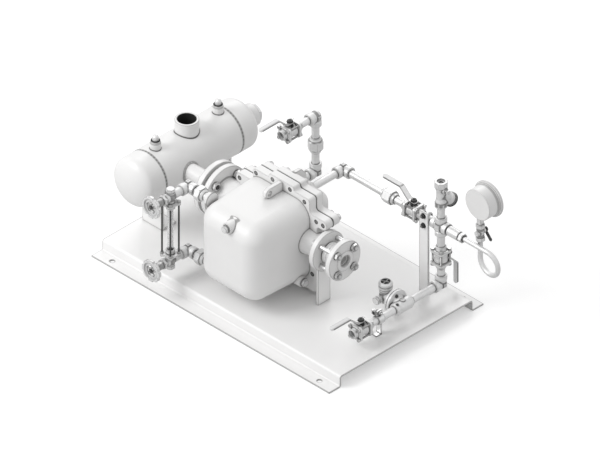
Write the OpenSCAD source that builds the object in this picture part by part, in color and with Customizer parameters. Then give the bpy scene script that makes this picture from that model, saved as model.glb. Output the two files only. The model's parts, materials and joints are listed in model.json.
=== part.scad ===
// Pressure-powered condensate pump on a base plate, with its receiver and steam lines.
// Millimetres. The origin is the middle of the four base holes, at floor level.
// The receiver lies along Y on the left, the pump's ports along X, the steam lines on the right.

/* [Base plate] */
// Length of the base plate, along X
base_l = 873; // [860:1:900]
// Width over both feet, along Y
base_w = 567; // [560:1:600]
// Height of the top face over the floor
base_h = 35; // [30:1:40]
// Sheet thickness
base_t = 4; // [3:0.5:5]
// Depth of each foot
foot_w = 40; // [34:1:46]
// Inside radius of the bends
bend_r = 4; // [3:0.5:6]
// Diameter of the foundation holes
base_hole_d = 14; // [10:0.5:16]
// Spacing of the foundation holes along X
hole_pitch_x = 761; // [700:1:800]
// Spacing of the foundation holes along Y
hole_pitch_y = 527; // [524:1:530]

/* [Receiver] */
// Axis of the receiver, along X
receiver_x = -390.5; // [-394:0.5:-384]
// Middle of the receiver shell, along Y
receiver_y = 17.5; // [14:0.5:21]
// Outside diameter of the shell
receiver_d = 143; // [136:1:150]
// Wall of the shell
receiver_wall = 5; // [4:0.5:7]
// Length between the weld seams
receiver_l = 282; // [270:1:300]
// Straight length of each end cap past its weld seam
skirt_l = 45; // [40:1:50]
// Depth of each dished end
dish_h = 34; // [30:1:40]
// Outside diameter of the large top socket
fill_socket_d = 65; // [60:1:70]
// Bore of the large top socket
fill_bore = 51.5; // [46:0.5:54]
// Height of the large top socket over the shell
fill_socket_h = 32; // [26:1:38]
// Diameter of the small top sockets
vent_socket_d = 29; // [26:1:32]
// Distance of the small sockets from the middle
vent_pitch = 115; // [105:1:120]

/* [Pump] */
// Middle of the pump, along X
pump_x = 10.5; // [8:0.5:13]
// Height of the inlet and outlet axis
port_z = 204; // [200:1:208]
// Inlet and outlet axis, along Y
port_y = -35.5; // [-37:0.5:-34]
// Front face of the body flange, along Y
joint_y = -33.5; // [-35:0.5:-32]
// Middle of the body, along X
body_x = 3; // [2:0.5:4]
// Width of the body
body_w = 225; // [218:1:226]
// Height of the body
body_h = 245; // [238:1:247]
// Height of the body's underside
body_low = 67.5; // [66:0.5:69]
// Depth of the body in front of its flange
body_l = 198; // [192:1:204]
// Radius of the body's edges
body_r = 50; // [45:1:54]
// Draft of the body, over its whole depth, on each side
body_draft = 4; // [2:0.5:6]
// Wall of the body casting
body_wall = 9; // [7:0.5:11]
// Thickness of the body flange
body_flange_t = 25; // [22:1:27]
// Thickness of the cover flange
cover_flange_t = 23; // [20:1:25]
// Thickness of the gasket between body and cover
gasket_t = 2; // [1.5:0.5:3]
// Depth of the cover behind its flange
cover_l = 50; // [44:1:56]
// Rim of the flange beside the body, on the outlet side
rim_right = 26; // [24:1:28]
// Rim of the flange beside the body, on the inlet side
rim_left = 29; // [27:1:31]
// Rim of the flange under the body
rim_low = 21.5; // [20:0.5:23]
// Half width of the flange's top step
crown_w = 46; // [44:1:48]
// Rise of the top step over the body
crown_h = 29.5; // [28:0.5:31]
// Rise of the second step over the body
shoulder_h = 17.5; // [16:0.5:18]
// Depth of the ears' top edge under the body's top
ear_drop = 24.5; // [23:0.5:26]
// Height of the ears
ear_h = 30; // [29:0.5:32]
// Reach of the ears past the rim on the outlet side
ear_reach = 35; // [33:1:37]
// Diameter of the cover bolts
cover_bolt_d = 10; // [8:1:11]

/* [Flanges] */
// Outside diameter of the outlet flanges
outlet_flange_d = 115; // [110:1:120]
// Bolt circle of the outlet flanges
outlet_pcd = 85; // [82:1:88]
// Bore of the outlet
outlet_bore = 28; // [24:1:34]
// Back face of the pump's outlet flange, along X
outlet_x = 170.5; // [167:0.5:174]
// Outside diameter of the inlet flanges
inlet_flange_d = 150; // [144:1:156]
// Bolt circle of the inlet flanges
inlet_pcd = 110; // [106:1:114]
// Bore of the inlet
inlet_bore = 42; // [36:1:46]
// Joint face of the pump's inlet flange, along X
inlet_x = -210; // [-214:0.5:-206]
// Thickness of every pipe flange
flange_t = 18; // [16:1:20]
// Thickness of the plate check valve in the inlet
inlet_check_t = 6; // [5:0.5:8]
// Length of the disc check valve in the outlet
outlet_check_l = 42; // [38:1:46]
// Outside diameter of the disc check valve
outlet_check_d = 62; // [58:1:66]
// Diameter of the flange bolts
flange_bolt_d = 13; // [10:1:14]

/* [Screwed pipework] */
// Outside diameter of the pipe
pipe_d = 21.3; // [20:0.1:22]
// Bore of the pipe
pipe_bore = 15.8; // [14:0.1:17]
// How deep a pipe screws into a fitting
seat = 12; // [10:1:14]
// Outside diameter of elbows and crosses
fitting_d = 33; // [30:0.5:35]
// Centre to end of elbows and crosses
fitting_a = 28; // [26:1:32]
// Across flats of the union nuts
union_af = 38; // [36:1:42]
// Length of a pipe union
union_l = 46; // [42:1:52]
// Height of the two ports in the pump's cover
top_port_z = 263; // [261:1:265]
// Exhaust port, along X
exhaust_x = -34.5; // [-37:0.5:-33]
// Corner of the exhaust line, along Y
exhaust_y = 137.5; // [132:0.5:142]
// Height of the exhaust line's top
exhaust_z = 438; // [430:1:450]
// Middle of the exhaust valve, along Y
exhaust_valve_y = 43.5; // [40:0.5:48]
// Line of the motive steam pipe, along Y
steam_y = 194.5; // [190:0.5:200]
// Middle of the union in the steam line, along X
steam_union_x = 182; // [150:1:190]
// Middle of the steam valve, along X
steam_valve_x = 270; // [262:1:274]
// Steam cross, along X
cross_x = 369.5; // [367:0.5:374]
// Middle height of the blowdown valve
blowdown_z = 166; // [160:1:172]
// Height of the drip line
drip_z = 80; // [78:1:84]
// Middle of the trap connector, along Y
connector_y = 53; // [46:1:60]
// Middle of the drain valve, along Y
drain_y = -99.5; // [-110:0.5:-90]

/* [Ball valves] */
// Diameter of the ball
ball_d = 25; // [24:0.5:26]
// Overall length of a valve
valve_l = 68; // [64:1:74]
// Side of the square end plates
plate_w = 43; // [41:1:46]
// Thickness of the end plates
plate_t = 8; // [7:0.5:9]
// Length of the middle piece
valve_mid_l = 29; // [28:0.5:32]
// Length of the lever's grip
grip_l = 66; // [58:1:74]
// Width of the lever's grip
grip_w = 12; // [10:0.5:14]
// Lift of the lever's crank
lever_lift = 28; // [24:1:30]

/* [Gauge glass] */
// Distance of the glass from the bosses on the body, along X
glass_reach = 71; // [69:0.5:74]
// Axis of the glass, along Y
glass_y = -243.5; // [-246:0.5:-240]
// Line of the connections into the body, along Y
glass_arm_y = -178.5; // [-181:0.5:-176]
// Height of the lower cock
glass_low_z = 95; // [93:1:98]
// Height of the upper cock
glass_top_z = 297; // [294:1:299]
// Diameter of the glass tube
glass_d = 16; // [14:0.5:18]
// Distance of the handwheels in front of the glass
wheel_reach = 69; // [64:1:74]
// Diameter of the handwheels
wheel_d = 64; // [58:1:68]

/* [Pressure gauge] */
// Axis of the gauge, along X
gauge_x = 497; // [494:0.5:500]
// Height of the gauge's centre
gauge_z = 388.5; // [386:0.5:394]
// Diameter of the gauge case
gauge_d = 90; // [86:1:94]
// Depth of the gauge case
gauge_depth = 42; // [38:1:46]
// Diameter of the siphon tube
siphon_d = 13.7; // [12:0.1:14]
// Radius of the siphon's loop
siphon_r = 38; // [36:0.5:40]
// Sideways step of the loop, so that its ends pass each other
siphon_step = 17; // [16:0.5:20]

/* [Fits] */
// Running clearance of pins and stems, on the radius
fit = 0.1; // [0.05:0.05:0.15]
// Clearance between curved pieces that move apart
gap = 0.4; // [0.3:0.1:0.6]

/* [Hidden] */
$fn = 48;

gasket_y = joint_y + body_flange_t;
cover_y = gasket_y + gasket_t;
cover_back_y = cover_y + cover_flange_t + cover_l;
body_front_y = joint_y - body_l;
outlet_face_x = outlet_x + flange_t;
counter_x = outlet_face_x + outlet_check_l;
inlet_back_x = inlet_x - inlet_check_t;
socket_d = pipe_d + 2 * fit;
reach = fitting_a - seat;
valve_reach = valve_l / 2 - seat;
union_reach = union_l / 2 - seat;
port_boss_l = 12;
cast = "gainsboro";
steel = "lightgray";
bright = "silver";
dark = "dimgray";

// The body's outline at the joint, with its sides measured from the pump's middle
body_z = body_low + body_h / 2;
body_top = body_low + body_h;
body_right = body_x - pump_x + body_w / 2;
body_left = pump_x - body_x + body_w / 2;
flange_right = body_right + rim_right;
flange_left = body_left + rim_left;
flange_bottom_z = body_low - rim_low;
ear_z = body_top - ear_drop;
ear_x = flange_right + ear_reach;
shoulder_x = body_right - 1;
step_x = [crown_w, shoulder_x, ear_x];
step_z = [body_top + crown_h, body_top + shoulder_h, ear_z];

// Positions of the cover bolts, as [x from the pump's middle, height]
crown_bolt = [crown_w - 14, step_z[0] - 14];
rim_bolt_z = body_low - 9.5;
ear_bolt_z = ear_z - ear_h / 2;
cover_bolts_at = [
    crown_bolt, [shoulder_x - 18, step_z[1] - 15],
    [body_right + 12, ear_bolt_z], [ear_x - 13, ear_bolt_z],
    [body_right + 12, body_z - 45], [body_right + 9, body_z - 90],
    [body_right - 27, rim_bolt_z], [26, rim_bolt_z],
    [-crown_bolt[0], crown_bolt[1]], [12 - shoulder_x, step_z[1] - 12],
    [13 - ear_x, ear_bolt_z],
    [-body_left - 15, body_z - 45], [-body_left - 11, body_z - 90],
    [30 - body_left, rim_bolt_z], [-crown_bolt[0], rim_bolt_z]
];

module along_x() { rotate([0, 90, 0]) children(); }
module along_y() { rotate([-90, 0, 0]) children(); }
module at(p) { translate(p) children(); }

// A cylinder along X, Y or Z that starts at a point
module rod_x(p, d, l) { at(p) along_x() cylinder(d = d, h = l); }
module rod_y(p, d, l) { at(p) along_y() cylinder(d = d, h = l); }
module rod_z(p, d, l) { at(p) cylinder(d = d, h = l); }

// Hexagonal prism by its width across flats
module hex(af, h) { cylinder(d = af / cos(30), h = h, $fn = 6); }

// Square with its corners cut to a circle
module plate(w, t) {
    linear_extrude(t) intersection() {
        square(w, center = true);
        circle(d = w * 1.26);
    }
}

// Copies at the four corners of a square of side 2 * r
module four(r) {
    for (sx = [-1, 1], sy = [-1, 1]) translate([sx * r, sy * r, 0]) children();
}

// Round bar with a circle swept along points, as one closed mesh
function ring(p, t, side, r, n) =
    let (up = cross(t, side))
    [for (i = [0:n - 1]) p + r * (cos(360 * i / n) * side + sin(360 * i / n) * up)];

function unit(v) = v / norm(v);

module sweep(path, side, d, n) {
    m = len(path);
    tangents = [for (i = [0:m - 1]) unit(path[min(i + 1, m - 1)] - path[max(i - 1, 0)])];
    sides = [for (t = tangents) unit(side - (side * t) * t)];
    rings = [for (i = [0:m - 1]) ring(path[i], tangents[i], sides[i], d / 2, n)];
    walls = [for (i = [0:m - 2], j = [0:n - 1])
        [i * n + j, (i + 1) * n + j, (i + 1) * n + (j + 1) % n, i * n + (j + 1) % n]];
    polyhedron(
        points = [for (r = rings, p = r) p],
        faces = concat(
            walls,
            [[for (j = [0:n - 1]) j]],
            [[for (j = [n - 1:-1:0]) (m - 1) * n + j]]
        )
    );
}

// Base plate: one folded sheet, seen from its end as Y and Z
module base_profile() {
    half = base_w / 2;
    web = half - foot_w;
    r = bend_r + base_t;
    for (s = [-1, 1]) scale([s, 1]) {
        translate([web + bend_r, 0]) square([foot_w - bend_r, base_t]);
        translate([web - base_t, r]) square([base_t, base_h - 2 * r]);
        translate([web + bend_r, r]) bend(180);
        translate([web - r, base_h - r]) bend(0);
        translate([0, base_h - base_t]) square([web - r, base_t]);
    }
}

module bend(turn) {
    rotate(turn) intersection() {
        difference() {
            circle(r = bend_r + base_t);
            circle(r = bend_r);
        }
        square(2 * (bend_r + base_t));
    }
}

module base_holes() {
    for (sx = [-1, 1], sy = [-1, 1])
        translate([sx * hole_pitch_x / 2, sy * hole_pitch_y / 2, -1])
            cylinder(d = base_hole_d, h = base_t + 2);
}

module base_plate() {
    color(cast) difference() {
        rotate([90, 0, 90]) translate([0, 0, -base_l / 2]) linear_extrude(base_l) base_profile();
        base_holes();
    }
}

// Receiver: half profile of the vessel, radius against length, less an inset
function dish(r, h, sign, n = 10) =
    [for (i = [0:n]) let (a = 90 * (sign > 0 ? i : n - i) / n) [r * cos(a), sign * h * sin(a)]];

module vessel(inset) {
    r = receiver_d / 2 - inset;
    h = dish_h - inset;
    half = receiver_l / 2 + skirt_l;
    bottom = [for (p = dish(r, h, -1)) p + [0, -half]];
    top = [for (p = dish(r, h, 1)) p + [0, half]];
    at([receiver_x, receiver_y, port_z]) along_y() rotate_extrude($fn = 64)
        polygon(concat(bottom, top));
}

shell_top = port_z + receiver_d / 2;
end_nozzle_y = receiver_y + receiver_l / 2 + skirt_l + dish_h + 25;
nozzle_x = inlet_back_x - flange_t;

module receiver_shell() {
    color(cast) difference() {
        union() {
            vessel(0);
            rod_z([receiver_x, receiver_y + 3, shell_top - 14], fill_socket_d, fill_socket_h + 14);
            for (s = [-1, 1])
                rod_z([receiver_x, receiver_y + 3 + s * vent_pitch, shell_top - 6],
                    vent_socket_d, 14);
            rod_y([receiver_x, end_nozzle_y - 40, port_z], 64, 40);
            rod_x([receiver_x + receiver_d / 2 - 8, port_y, port_z], 48.3,
                nozzle_x - receiver_x - receiver_d / 2 + 8);
            rod_x([nozzle_x, port_y, port_z], inlet_flange_d, flange_t);
        }
        vessel(receiver_wall);
        rod_z([receiver_x, receiver_y + 3, port_z], fill_bore, receiver_d);
        for (s = [-1, 1])
            rod_z([receiver_x, receiver_y + 3 + s * vent_pitch, port_z], pipe_d, receiver_d);
        rod_y([receiver_x, receiver_y, port_z], 33.6, end_nozzle_y - receiver_y + 1);
        rod_x([receiver_x, port_y, port_z], inlet_bore, 300);
        inlet_bolts_at() cylinder(d = flange_bolt_d + 1, h = 200, center = true);
    }
}

module receiver_brackets() {
    depth = 73;
    reach = receiver_l / 2 - 17;
    for (y = [receiver_y - reach, receiver_y + reach]) color(steel) difference() {
        union() {
            at([receiver_x - depth / 2 + 1, y, base_h]) cube([depth, 6, 90 + 60]);
            s = y < receiver_y ? 0 : -44;
            at([receiver_x - depth / 2 + 1, y + s, base_h]) cube([depth, 50, 6]);
        }
        rod_y([receiver_x, y - 60, port_z], receiver_d + 2 * fit, 120);
    }
}

// Pump body: a rounded, drafted box that opens at its flange
module body_form(inset) {
    w = body_w / 2 - inset;
    h = body_h / 2 - inset;
    r = body_r - inset;
    front = body_front_y + inset + r;
    hull() {
        for (sx = [-1, 1], sz = [-1, 1]) {
            at([body_x + sx * (w - r - body_draft), front, body_z + sz * (h - r - body_draft)])
                sphere(r = r, $fn = 32);
            at([body_x + sx * (w - r), joint_y, body_z + sz * (h - r)])
                along_y() cylinder(r = r, h = 2, $fn = 32);
        }
    }
}

// The body's opening, as a prism along Y through the joint, a little wider than the cavity
mouth_step = 1.5;

module body_mouth() {
    at([body_x, 0, body_z]) rotate([90, 0, 0]) linear_extrude(200, center = true)
        offset(r = body_r - body_wall + mouth_step)
            square([body_w - 2 * body_r, body_h - 2 * body_r], center = true);
}

module flange_outline() {
    offset(r = -9) offset(r = 18) offset(r = -9) {
        translate([-step_x[0], step_z[1] - 24]) square([2 * step_x[0], step_z[0] - step_z[1] + 24]);
        translate([-step_x[1], step_z[2] - 24]) square([2 * step_x[1], step_z[1] - step_z[2] + 24]);
        translate([-ear_x, ear_z - ear_h]) square([2 * ear_x, ear_h]);
        translate([-flange_left, flange_bottom_z])
            square([flange_left + flange_right, step_z[2] - flange_bottom_z]);
    }
}

module flange_slab(y, t, grow = 0) {
    at([pump_x, y + t, 0]) rotate([90, 0, 0]) linear_extrude(t) offset(delta = grow)
        flange_outline();
}

module cover_holes(y, l, d) {
    for (p = cover_bolts_at) rod_y([pump_x + p[0], y, p[1]], d, l);
}

module inlet_bolts_at() {
    for (a = [45:90:359]) at([inlet_x, port_y, port_z]) along_x() rotate(a)
        translate([inlet_pcd / 2, 0, 0]) children();
}

module outlet_bolts_at() {
    for (a = [45:90:359]) at([outlet_x, port_y, port_z]) along_x() rotate(a)
        translate([outlet_pcd / 2, 0, 0]) children();
}

neck_d = 78;
neck_end_d = 58;
inlet_neck_d = 82;
neck_x = body_x + body_w / 2 - 15;
boss_x = body_x - body_w / 2 - 6;
glass_x = boss_x - glass_reach;
drain_at = [body_x + body_w / 2 - 34, joint_y - 30, body_low + 21];
front_boss_at = [pump_x, body_front_y + 6, body_top - 25];

module lifting_lug(y, way) {
    lug_l = 62;
    lug_h = 30;
    at([pump_x - 7, y, step_z[0] - 2 - lug_h]) rotate([90, 0, 90]) linear_extrude(13) scale([way, 1])
        difference() {
            union() {
                square([lug_l - lug_h / 2, lug_h]);
                translate([lug_l - lug_h / 2, lug_h / 2]) circle(d = lug_h);
            }
            translate([lug_l - lug_h / 2, lug_h / 2]) circle(d = 13);
        }
}

module pump_body() {
    color("whitesmoke") difference() {
        union() {
            body_form(0);
            flange_slab(joint_y, body_flange_t);
            difference() {
                union() {
                    at([neck_x, port_y, port_z]) along_x()
                        cylinder(d1 = neck_d, d2 = neck_end_d, h = outlet_x - neck_x);
                    rod_x([inlet_x + flange_t, port_y, port_z], inlet_neck_d,
                        pump_x - inlet_x - flange_t);
                }
                at([pump_x - flange_left - 1, gasket_y, port_z - 60])
                    cube([flange_left + flange_right + 2, 60, 120]);
            }
            rod_x([outlet_x, port_y, port_z], outlet_flange_d, flange_t);
            rod_x([inlet_x, port_y, port_z], inlet_flange_d, flange_t);
            for (z = [glass_low_z, glass_top_z])
                rod_x([boss_x, glass_arm_y, z], 32, 50);
            rod_x(drain_at, 30, 40);
            rod_y(front_boss_at - [0, 8, 0], 36, 40);
            lifting_lug(joint_y, -1);
        }
        difference() {
            body_form(body_wall);
            at([-500, joint_y, 0]) cube([1000, 100, 500]);
        }
        intersection() {
            at([0, joint_y + body_flange_t / 2, 0]) cube([600, body_flange_t + 8, 900], center = true);
            body_mouth();
        }
        rod_x([pump_x, port_y, port_z], outlet_bore, 400);
        rod_x([inlet_x - 1, port_y, port_z], inlet_bore, pump_x - inlet_x);
        cover_holes(joint_y - 1, 60, cover_bolt_d + 0.6);
        inlet_bolts_at() cylinder(d = flange_bolt_d + 1, h = 40);
        inlet_bolts_at() cylinder(d = flange_bolt_d + 1, h = 40, center = true);
        outlet_bolts_at() cylinder(d = flange_bolt_d + 1, h = 60, center = true);
        for (z = [glass_low_z, glass_top_z])
            rod_x([boss_x - 1, glass_arm_y, z], socket_d, 19);
        for (z = [glass_low_z, glass_top_z])
            rod_x([boss_x - 1, glass_arm_y, z], 10, 60);
        rod_x(drain_at, 21, 41);
        rod_y(front_boss_at - [0, 9, 0], 21, 60);
    }
}

// Pump cover: closes the body and carries the mechanism and its two steam ports
cover_wall = body_wall + 3;

module cover_form(inset) {
    w = body_w / 2 - 8 - inset;
    h = body_h / 2 - 6 - inset;
    r = 34 - inset;
    y = cover_y + (inset > 0 ? -1 : 6);
    hull() for (sx = [-1, 1], sz = [-1, 1]) {
        at([body_x + sx * (w - r), y, body_z + sz * (h - r)])
            along_y() cylinder(r = r, h = 2, $fn = 32);
        at([body_x + sx * (w - r - 4), cover_back_y - inset - r, body_z + sz * (h - r - 4)])
            sphere(r = r, $fn = 32);
    }
}

module pump_cover() {
    color("whitesmoke") difference() {
        union() {
            flange_slab(cover_y, cover_flange_t);
            cover_form(0);
            for (x = [pump_x, exhaust_x])
                rod_y([x, cover_back_y - 40, top_port_z], 36, 40 + port_boss_l);
            at([pump_x - 7, cover_y + cover_flange_t - 3, step_z[0] - 55]) rotate([90, 0, 90])
                linear_extrude(12) polygon([[0, 0], [48, 0], [48, 12], [17, 46], [0, 46]]);
        }
        difference() {
            cover_form(cover_wall);
            valve_block();
        }
        for (x = [pump_x, exhaust_x]) {
            rod_y([x, cover_back_y + port_boss_l - seat, top_port_z], socket_d, seat + 1);
            rod_y([x, valve_y, top_port_z], 13, cover_back_y - valve_y + port_boss_l);
            rod_z([x, valve_y, 200], 13, top_port_z - 200);
        }
        cover_holes(cover_y - 1, 60, cover_bolt_d + 0.6);
    }
}

// Block on the cover's inside, with the motive seat and the exhaust seat in its underside
exhaust_block_w = 34;
valve_y = cover_y + 16;
seat_z = top_port_z - 16;

module valve_block() {
    at([exhaust_x - exhaust_block_w / 2, cover_y, seat_z])
        cube([pump_x - exhaust_x + exhaust_block_w, cover_l + 40, 32]);
}

module gaskets() {
    color(dark) {
        difference() {
            flange_slab(gasket_y, gasket_t, -0.6);
            body_mouth();
            cover_holes(gasket_y - 1, 10, cover_bolt_d + 0.6);
        }
    }
}

// Their heads lie behind the cover, and their ends show in the body's flange
module cover_bolts() {
    grip = cover_y + cover_flange_t - joint_y;
    color(bright) for (p = cover_bolts_at)
        at([pump_x + p[0], joint_y, p[1]]) along_y() {
            translate([0, 0, 2]) cylinder(d = cover_bolt_d, h = grip, $fn = 24);
            translate([0, 0, grip]) cylinder(d = cover_bolt_d + 9, h = 1.6);
            translate([0, 0, grip + 1.6]) hex(cover_bolt_d + 6, 8);
        }
}

module plug(d, head_af, head_h, l) {
    translate([0, 0, -l]) cylinder(d = d, h = l);
    cylinder(d = d + 5, h = 2);
    translate([0, 0, 2]) hex(head_af, head_h);
}

module plugs() {
    color(bright) {
        for (s = [-1, 1]) at([receiver_x, receiver_y + 3 + s * vent_pitch, shell_top + 8]) {
            translate([0, 0, -10]) cylinder(d = pipe_d - 2 * fit, h = 10);
            cylinder(d = 22, h = 9);
            translate([0, 0, 9]) scale(0.5) sphere(r = 22);
        }
        at([receiver_x, end_nozzle_y, port_z]) along_y() plug(33.4, 44, 11, 14);
        at(front_boss_at - [0, 8, 0]) rotate([90, 0, 0]) plug(20.8, 17, 9, 12);
        at(drain_at + [40, 0, 0]) along_x() plug(20.8, 19, 9, 12);
    }
}

// Float mechanism
pivot = [pump_x, gasket_y - 26, port_z - 14];
float_at = [pump_x, pivot[1] - 104, pivot[2] - 40];
float_d = 108;
snap_pivot = [pump_x, gasket_y - 22, port_z - 48];
rod_at = [pump_x, valve_y, seat_z - 12];
cheek_x = 20;
arm_l = 44;
bar_d = 6;
frame_low_z = port_z - 68;
frame_back_y = cover_back_y - cover_wall - gap;

module mechanism_frame() {
    color(steel) difference() {
        union() {
            for (s = [-1, 1])
                at([pump_x + s * cheek_x - 2.5, gasket_y - 44, frame_low_z])
                    cube([5, frame_back_y - gasket_y + 44, 76]);
            at([pump_x - cheek_x, frame_back_y - 5, frame_low_z]) cube([2 * cheek_x, 5, 76]);
            at([pump_x - cheek_x, snap_pivot[1] + arm_l - 8, frame_low_z])
                cube([2 * cheek_x, frame_back_y - snap_pivot[1] - arm_l + 8, 4]);
        }
        for (p = [pivot, snap_pivot]) rod_x(p - [60, 0, 0], 8 + 2 * fit, 120);
    }
}

module float_ball() {
    color(bright) difference() {
        at(float_at) sphere(d = float_d);
        at(float_at) sphere(d = float_d - 4);
    }
}

module float_lever() {
    arm = float_at - pivot;
    tilt = atan2(arm[2], arm[1]);
    color(steel) at(pivot) {
        rod_x([-cheek_x - 6, 0, 0], 8, 2 * cheek_x + 12);
        rod_x([-10, 0, 0], 20, 20);
        rotate([tilt, 0, 0]) along_y()
            cylinder(d = 9, h = norm(arm) - float_d / 2);
    }
}

module snap_arm() {
    color(steel) at(snap_pivot) {
        rod_x([-cheek_x - 6, 0, 0], 8, 2 * cheek_x + 12);
        for (s = [-1, 1]) translate([s * 13 - 2, 0, 0]) {
            rod_x([0, 0, 0], 18, 4);
            translate([0, 0, -5]) cube([4, arm_l, 10]);
        }
        rod_x([-15, arm_l, 0], bar_d, 30);
    }
}

module trip_spring() {
    turns = 4;
    coil_r = 5;
    wire = 1.6;
    low = frame_low_z + 4 + wire / 2 + 0.1;
    high = snap_pivot[2] - bar_d / 2 - wire / 2 - 0.1;
    path = [for (i = [0:turns * 8]) let (a = 45 * i)
        [pump_x + coil_r * cos(a), snap_pivot[1] + arm_l + coil_r * sin(a),
         low + (high - low) * i / (turns * 8)]];
    color(bright) sweep(path, [0, 0, 1], wire, 6);
}

module push_rod() {
    color(bright) {
        foot = snap_pivot[2] + bar_d / 2 + gap;
        at([pump_x - 6, valve_y - 6, foot]) cube([12, 12, seat_z - 20 - foot]);
        at([exhaust_x - 7, valve_y - 4, seat_z - 22]) cube([pump_x - exhaust_x + 14, 8, 5]);
        for (x = [pump_x, exhaust_x]) {
            rod_z([x, valve_y, seat_z - 18], 6, 14);
            rod_z([x, valve_y, seat_z - 9], 11, 6);
        }
    }
}

// Inlet plate check valve, hinged at its top, and outlet disc check valve
seat_depth = 3;
flap_d = inlet_bore - 9;
flap_pin_z = port_z + flap_d / 2 - 3;
flap_x = inlet_x - seat_depth + gap;

module inlet_check_ring() {
    color(dark) difference() {
        rod_x([inlet_back_x, port_y, port_z], inlet_pcd - flange_bolt_d - 3, inlet_check_t);
        rod_x([inlet_back_x - 1, port_y, port_z], flap_d - 4, inlet_check_t + 2);
        rod_x([inlet_x - seat_depth, port_y, port_z], inlet_bore, seat_depth + 1);
    }
}

module inlet_check_flap() {
    flap_t = 2.4;
    color(bright) {
        difference() {
            rod_x([flap_x, port_y, port_z], flap_d, flap_t);
            at([flap_x - 1, port_y - 30, flap_pin_z + 1.5]) cube([9, 60, 30]);
        }
        rod_y([flap_x + flap_t + 1.6, port_y - 7, flap_pin_z], 4, 14);
    }
}

module outlet_check_body() {
    color(steel) difference() {
        union() {
            rod_x([outlet_face_x, port_y, port_z], outlet_check_d, outlet_check_l);
        }
        rod_x([outlet_face_x - 1, port_y, port_z], outlet_bore - 4, outlet_check_l + 2);
        rod_x([outlet_face_x + 10, port_y, port_z], 44, outlet_check_l);
    }
}

module outlet_check_disc() {
    color(bright) rod_x([outlet_face_x + 10.1, port_y, port_z], 38, 4);
}

module outlet_flange() {
    color(cast) difference() {
        union() {
            rod_x([counter_x, port_y, port_z], outlet_flange_d, flange_t - 2);
            rod_x([counter_x + flange_t - 2, port_y, port_z], 60, 2);
        }
        rod_x([counter_x - 1, port_y, port_z], 34, flange_t + 2);
        outlet_bolts_at() cylinder(d = flange_bolt_d + 1, h = 200);
    }
}

module flange_bolts() {
    outlet_grip = 2 * flange_t + outlet_check_l - 2;
    inlet_grip = 2 * flange_t + inlet_check_t;
    color(bright) {
        outlet_bolts_at() {
            translate([0, 0, -9]) hex(20, 9);
            cylinder(d = flange_bolt_d, h = outlet_grip + 14);
            translate([0, 0, outlet_grip]) hex(20, 10);
        }
        translate([-inlet_check_t - flange_t, 0, 0]) inlet_bolts_at() {
            translate([0, 0, -9]) hex(22, 9);
            cylinder(d = flange_bolt_d, h = inlet_grip + 12);
            translate([0, 0, inlet_grip]) hex(22, 10);
        }
    }
}

module pump_legs() {
    leg_w = 44;
    leg_t = 8;
    for (x = [outlet_x - leg_t, inlet_x + flange_t]) color(steel) difference() {
        at([x, port_y - leg_w / 2, base_h]) cube([leg_t, leg_w, port_z - base_h]);
        rod_x([x - 1, port_y, port_z], inlet_neck_d + 2 * fit, leg_t + 2);
        if (x > 0) outlet_bolts_at() cylinder(d = 26, h = 60, center = true);
        if (x < 0) inlet_bolts_at() cylinder(d = 28, h = 90, center = true);
    }
}

// Gauge glass
cock_a = 24;

module cock(z, s) {
    at([glass_x, glass_y, z]) {
        rod_y([0, -26, 0], 24, 26 + (glass_arm_y - glass_y) - cock_a + 4);
        rotate([90, 0, 0]) translate([0, 0, 20]) hex(24, 12);
        rod_z([0, 0, s > 0 ? 0 : -26], 22, 26);
        plate_at = s > 0 ? 18 : -23;
        translate([0, 0, plate_at]) plate(42, 5);
    }
}

module glass_cocks() {
    color(cast) for (k = [[glass_low_z, 1], [glass_top_z, -1]]) difference() {
        cock(k[0], k[1]);
        rod_z([glass_x, glass_y, k[1] > 0 ? k[0] - 4 : k[0] - 40], glass_d - 4, 44);
        rod_z([glass_x, glass_y, k[1] > 0 ? k[0] + 16 : k[0] - 46], glass_d + 2 * fit, 30);
        rod_y([glass_x, glass_y - 40, k[0]], 8 + 2 * fit, 80);
        at([glass_x, glass_y, k[0]]) four(15.5)
            cylinder(d = 5 + 2 * fit, h = 80, center = true);
    }
}

module glass_tube() {
    color("lightcyan") difference() {
        rod_z([glass_x, glass_y, glass_low_z + 16], glass_d, glass_top_z - glass_low_z - 32);
        rod_z([glass_x, glass_y, glass_low_z + 15], glass_d - 5, glass_top_z - glass_low_z - 30);
    }
}

module guard_rods() {
    color(bright) at([glass_x, glass_y, glass_low_z + 16]) four(15.5)
        cylinder(d = 5, h = glass_top_z - glass_low_z - 32);
}

module gland_nuts() {
    for (z = [glass_low_z + 26.1, glass_top_z - 36.1]) color(cast) difference() {
        rod_z([glass_x, glass_y, z], 24, 10);
        rod_z([glass_x, glass_y, z - 1], glass_d + 2 * fit, 12);
        at([glass_x, glass_y, z]) four(15.5) cylinder(d = 6, h = 80, center = true);
    }
}

// Handwheel with finger notches round its rim
wheel_t = 9;
wheel_rim = 10;
wheel_notches = 8;

module handwheel(z) {
    hub_d = 24;
    at([glass_x, glass_y - wheel_reach, z]) color(cast) along_y() {
        difference() {
            cylinder(d = wheel_d, h = wheel_t, center = true);
            cylinder(d = wheel_d - 2 * wheel_rim, h = 2 * wheel_t, center = true);
            for (i = [1:wheel_notches]) rotate((i - 0.5) * 360 / wheel_notches)
                translate([wheel_d / 2 + 1, 0, 0])
                    cylinder(d = wheel_rim, h = 2 * wheel_t, center = true);
        }
        difference() {
            cylinder(d = hub_d, h = wheel_t, center = true);
            translate([0, 0, -wheel_t]) cylinder(d = 15, h = wheel_t - 1);
        }
        for (i = [0:wheel_notches / 2 - 1]) rotate(i * 360 / wheel_notches)
            cube([wheel_d - wheel_rim, 5, 4], center = true);
        translate([0, 0, -wheel_t / 2]) hex(11, 5);
        cylinder(d = 8, h = wheel_reach - 8);
    }
}

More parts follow.
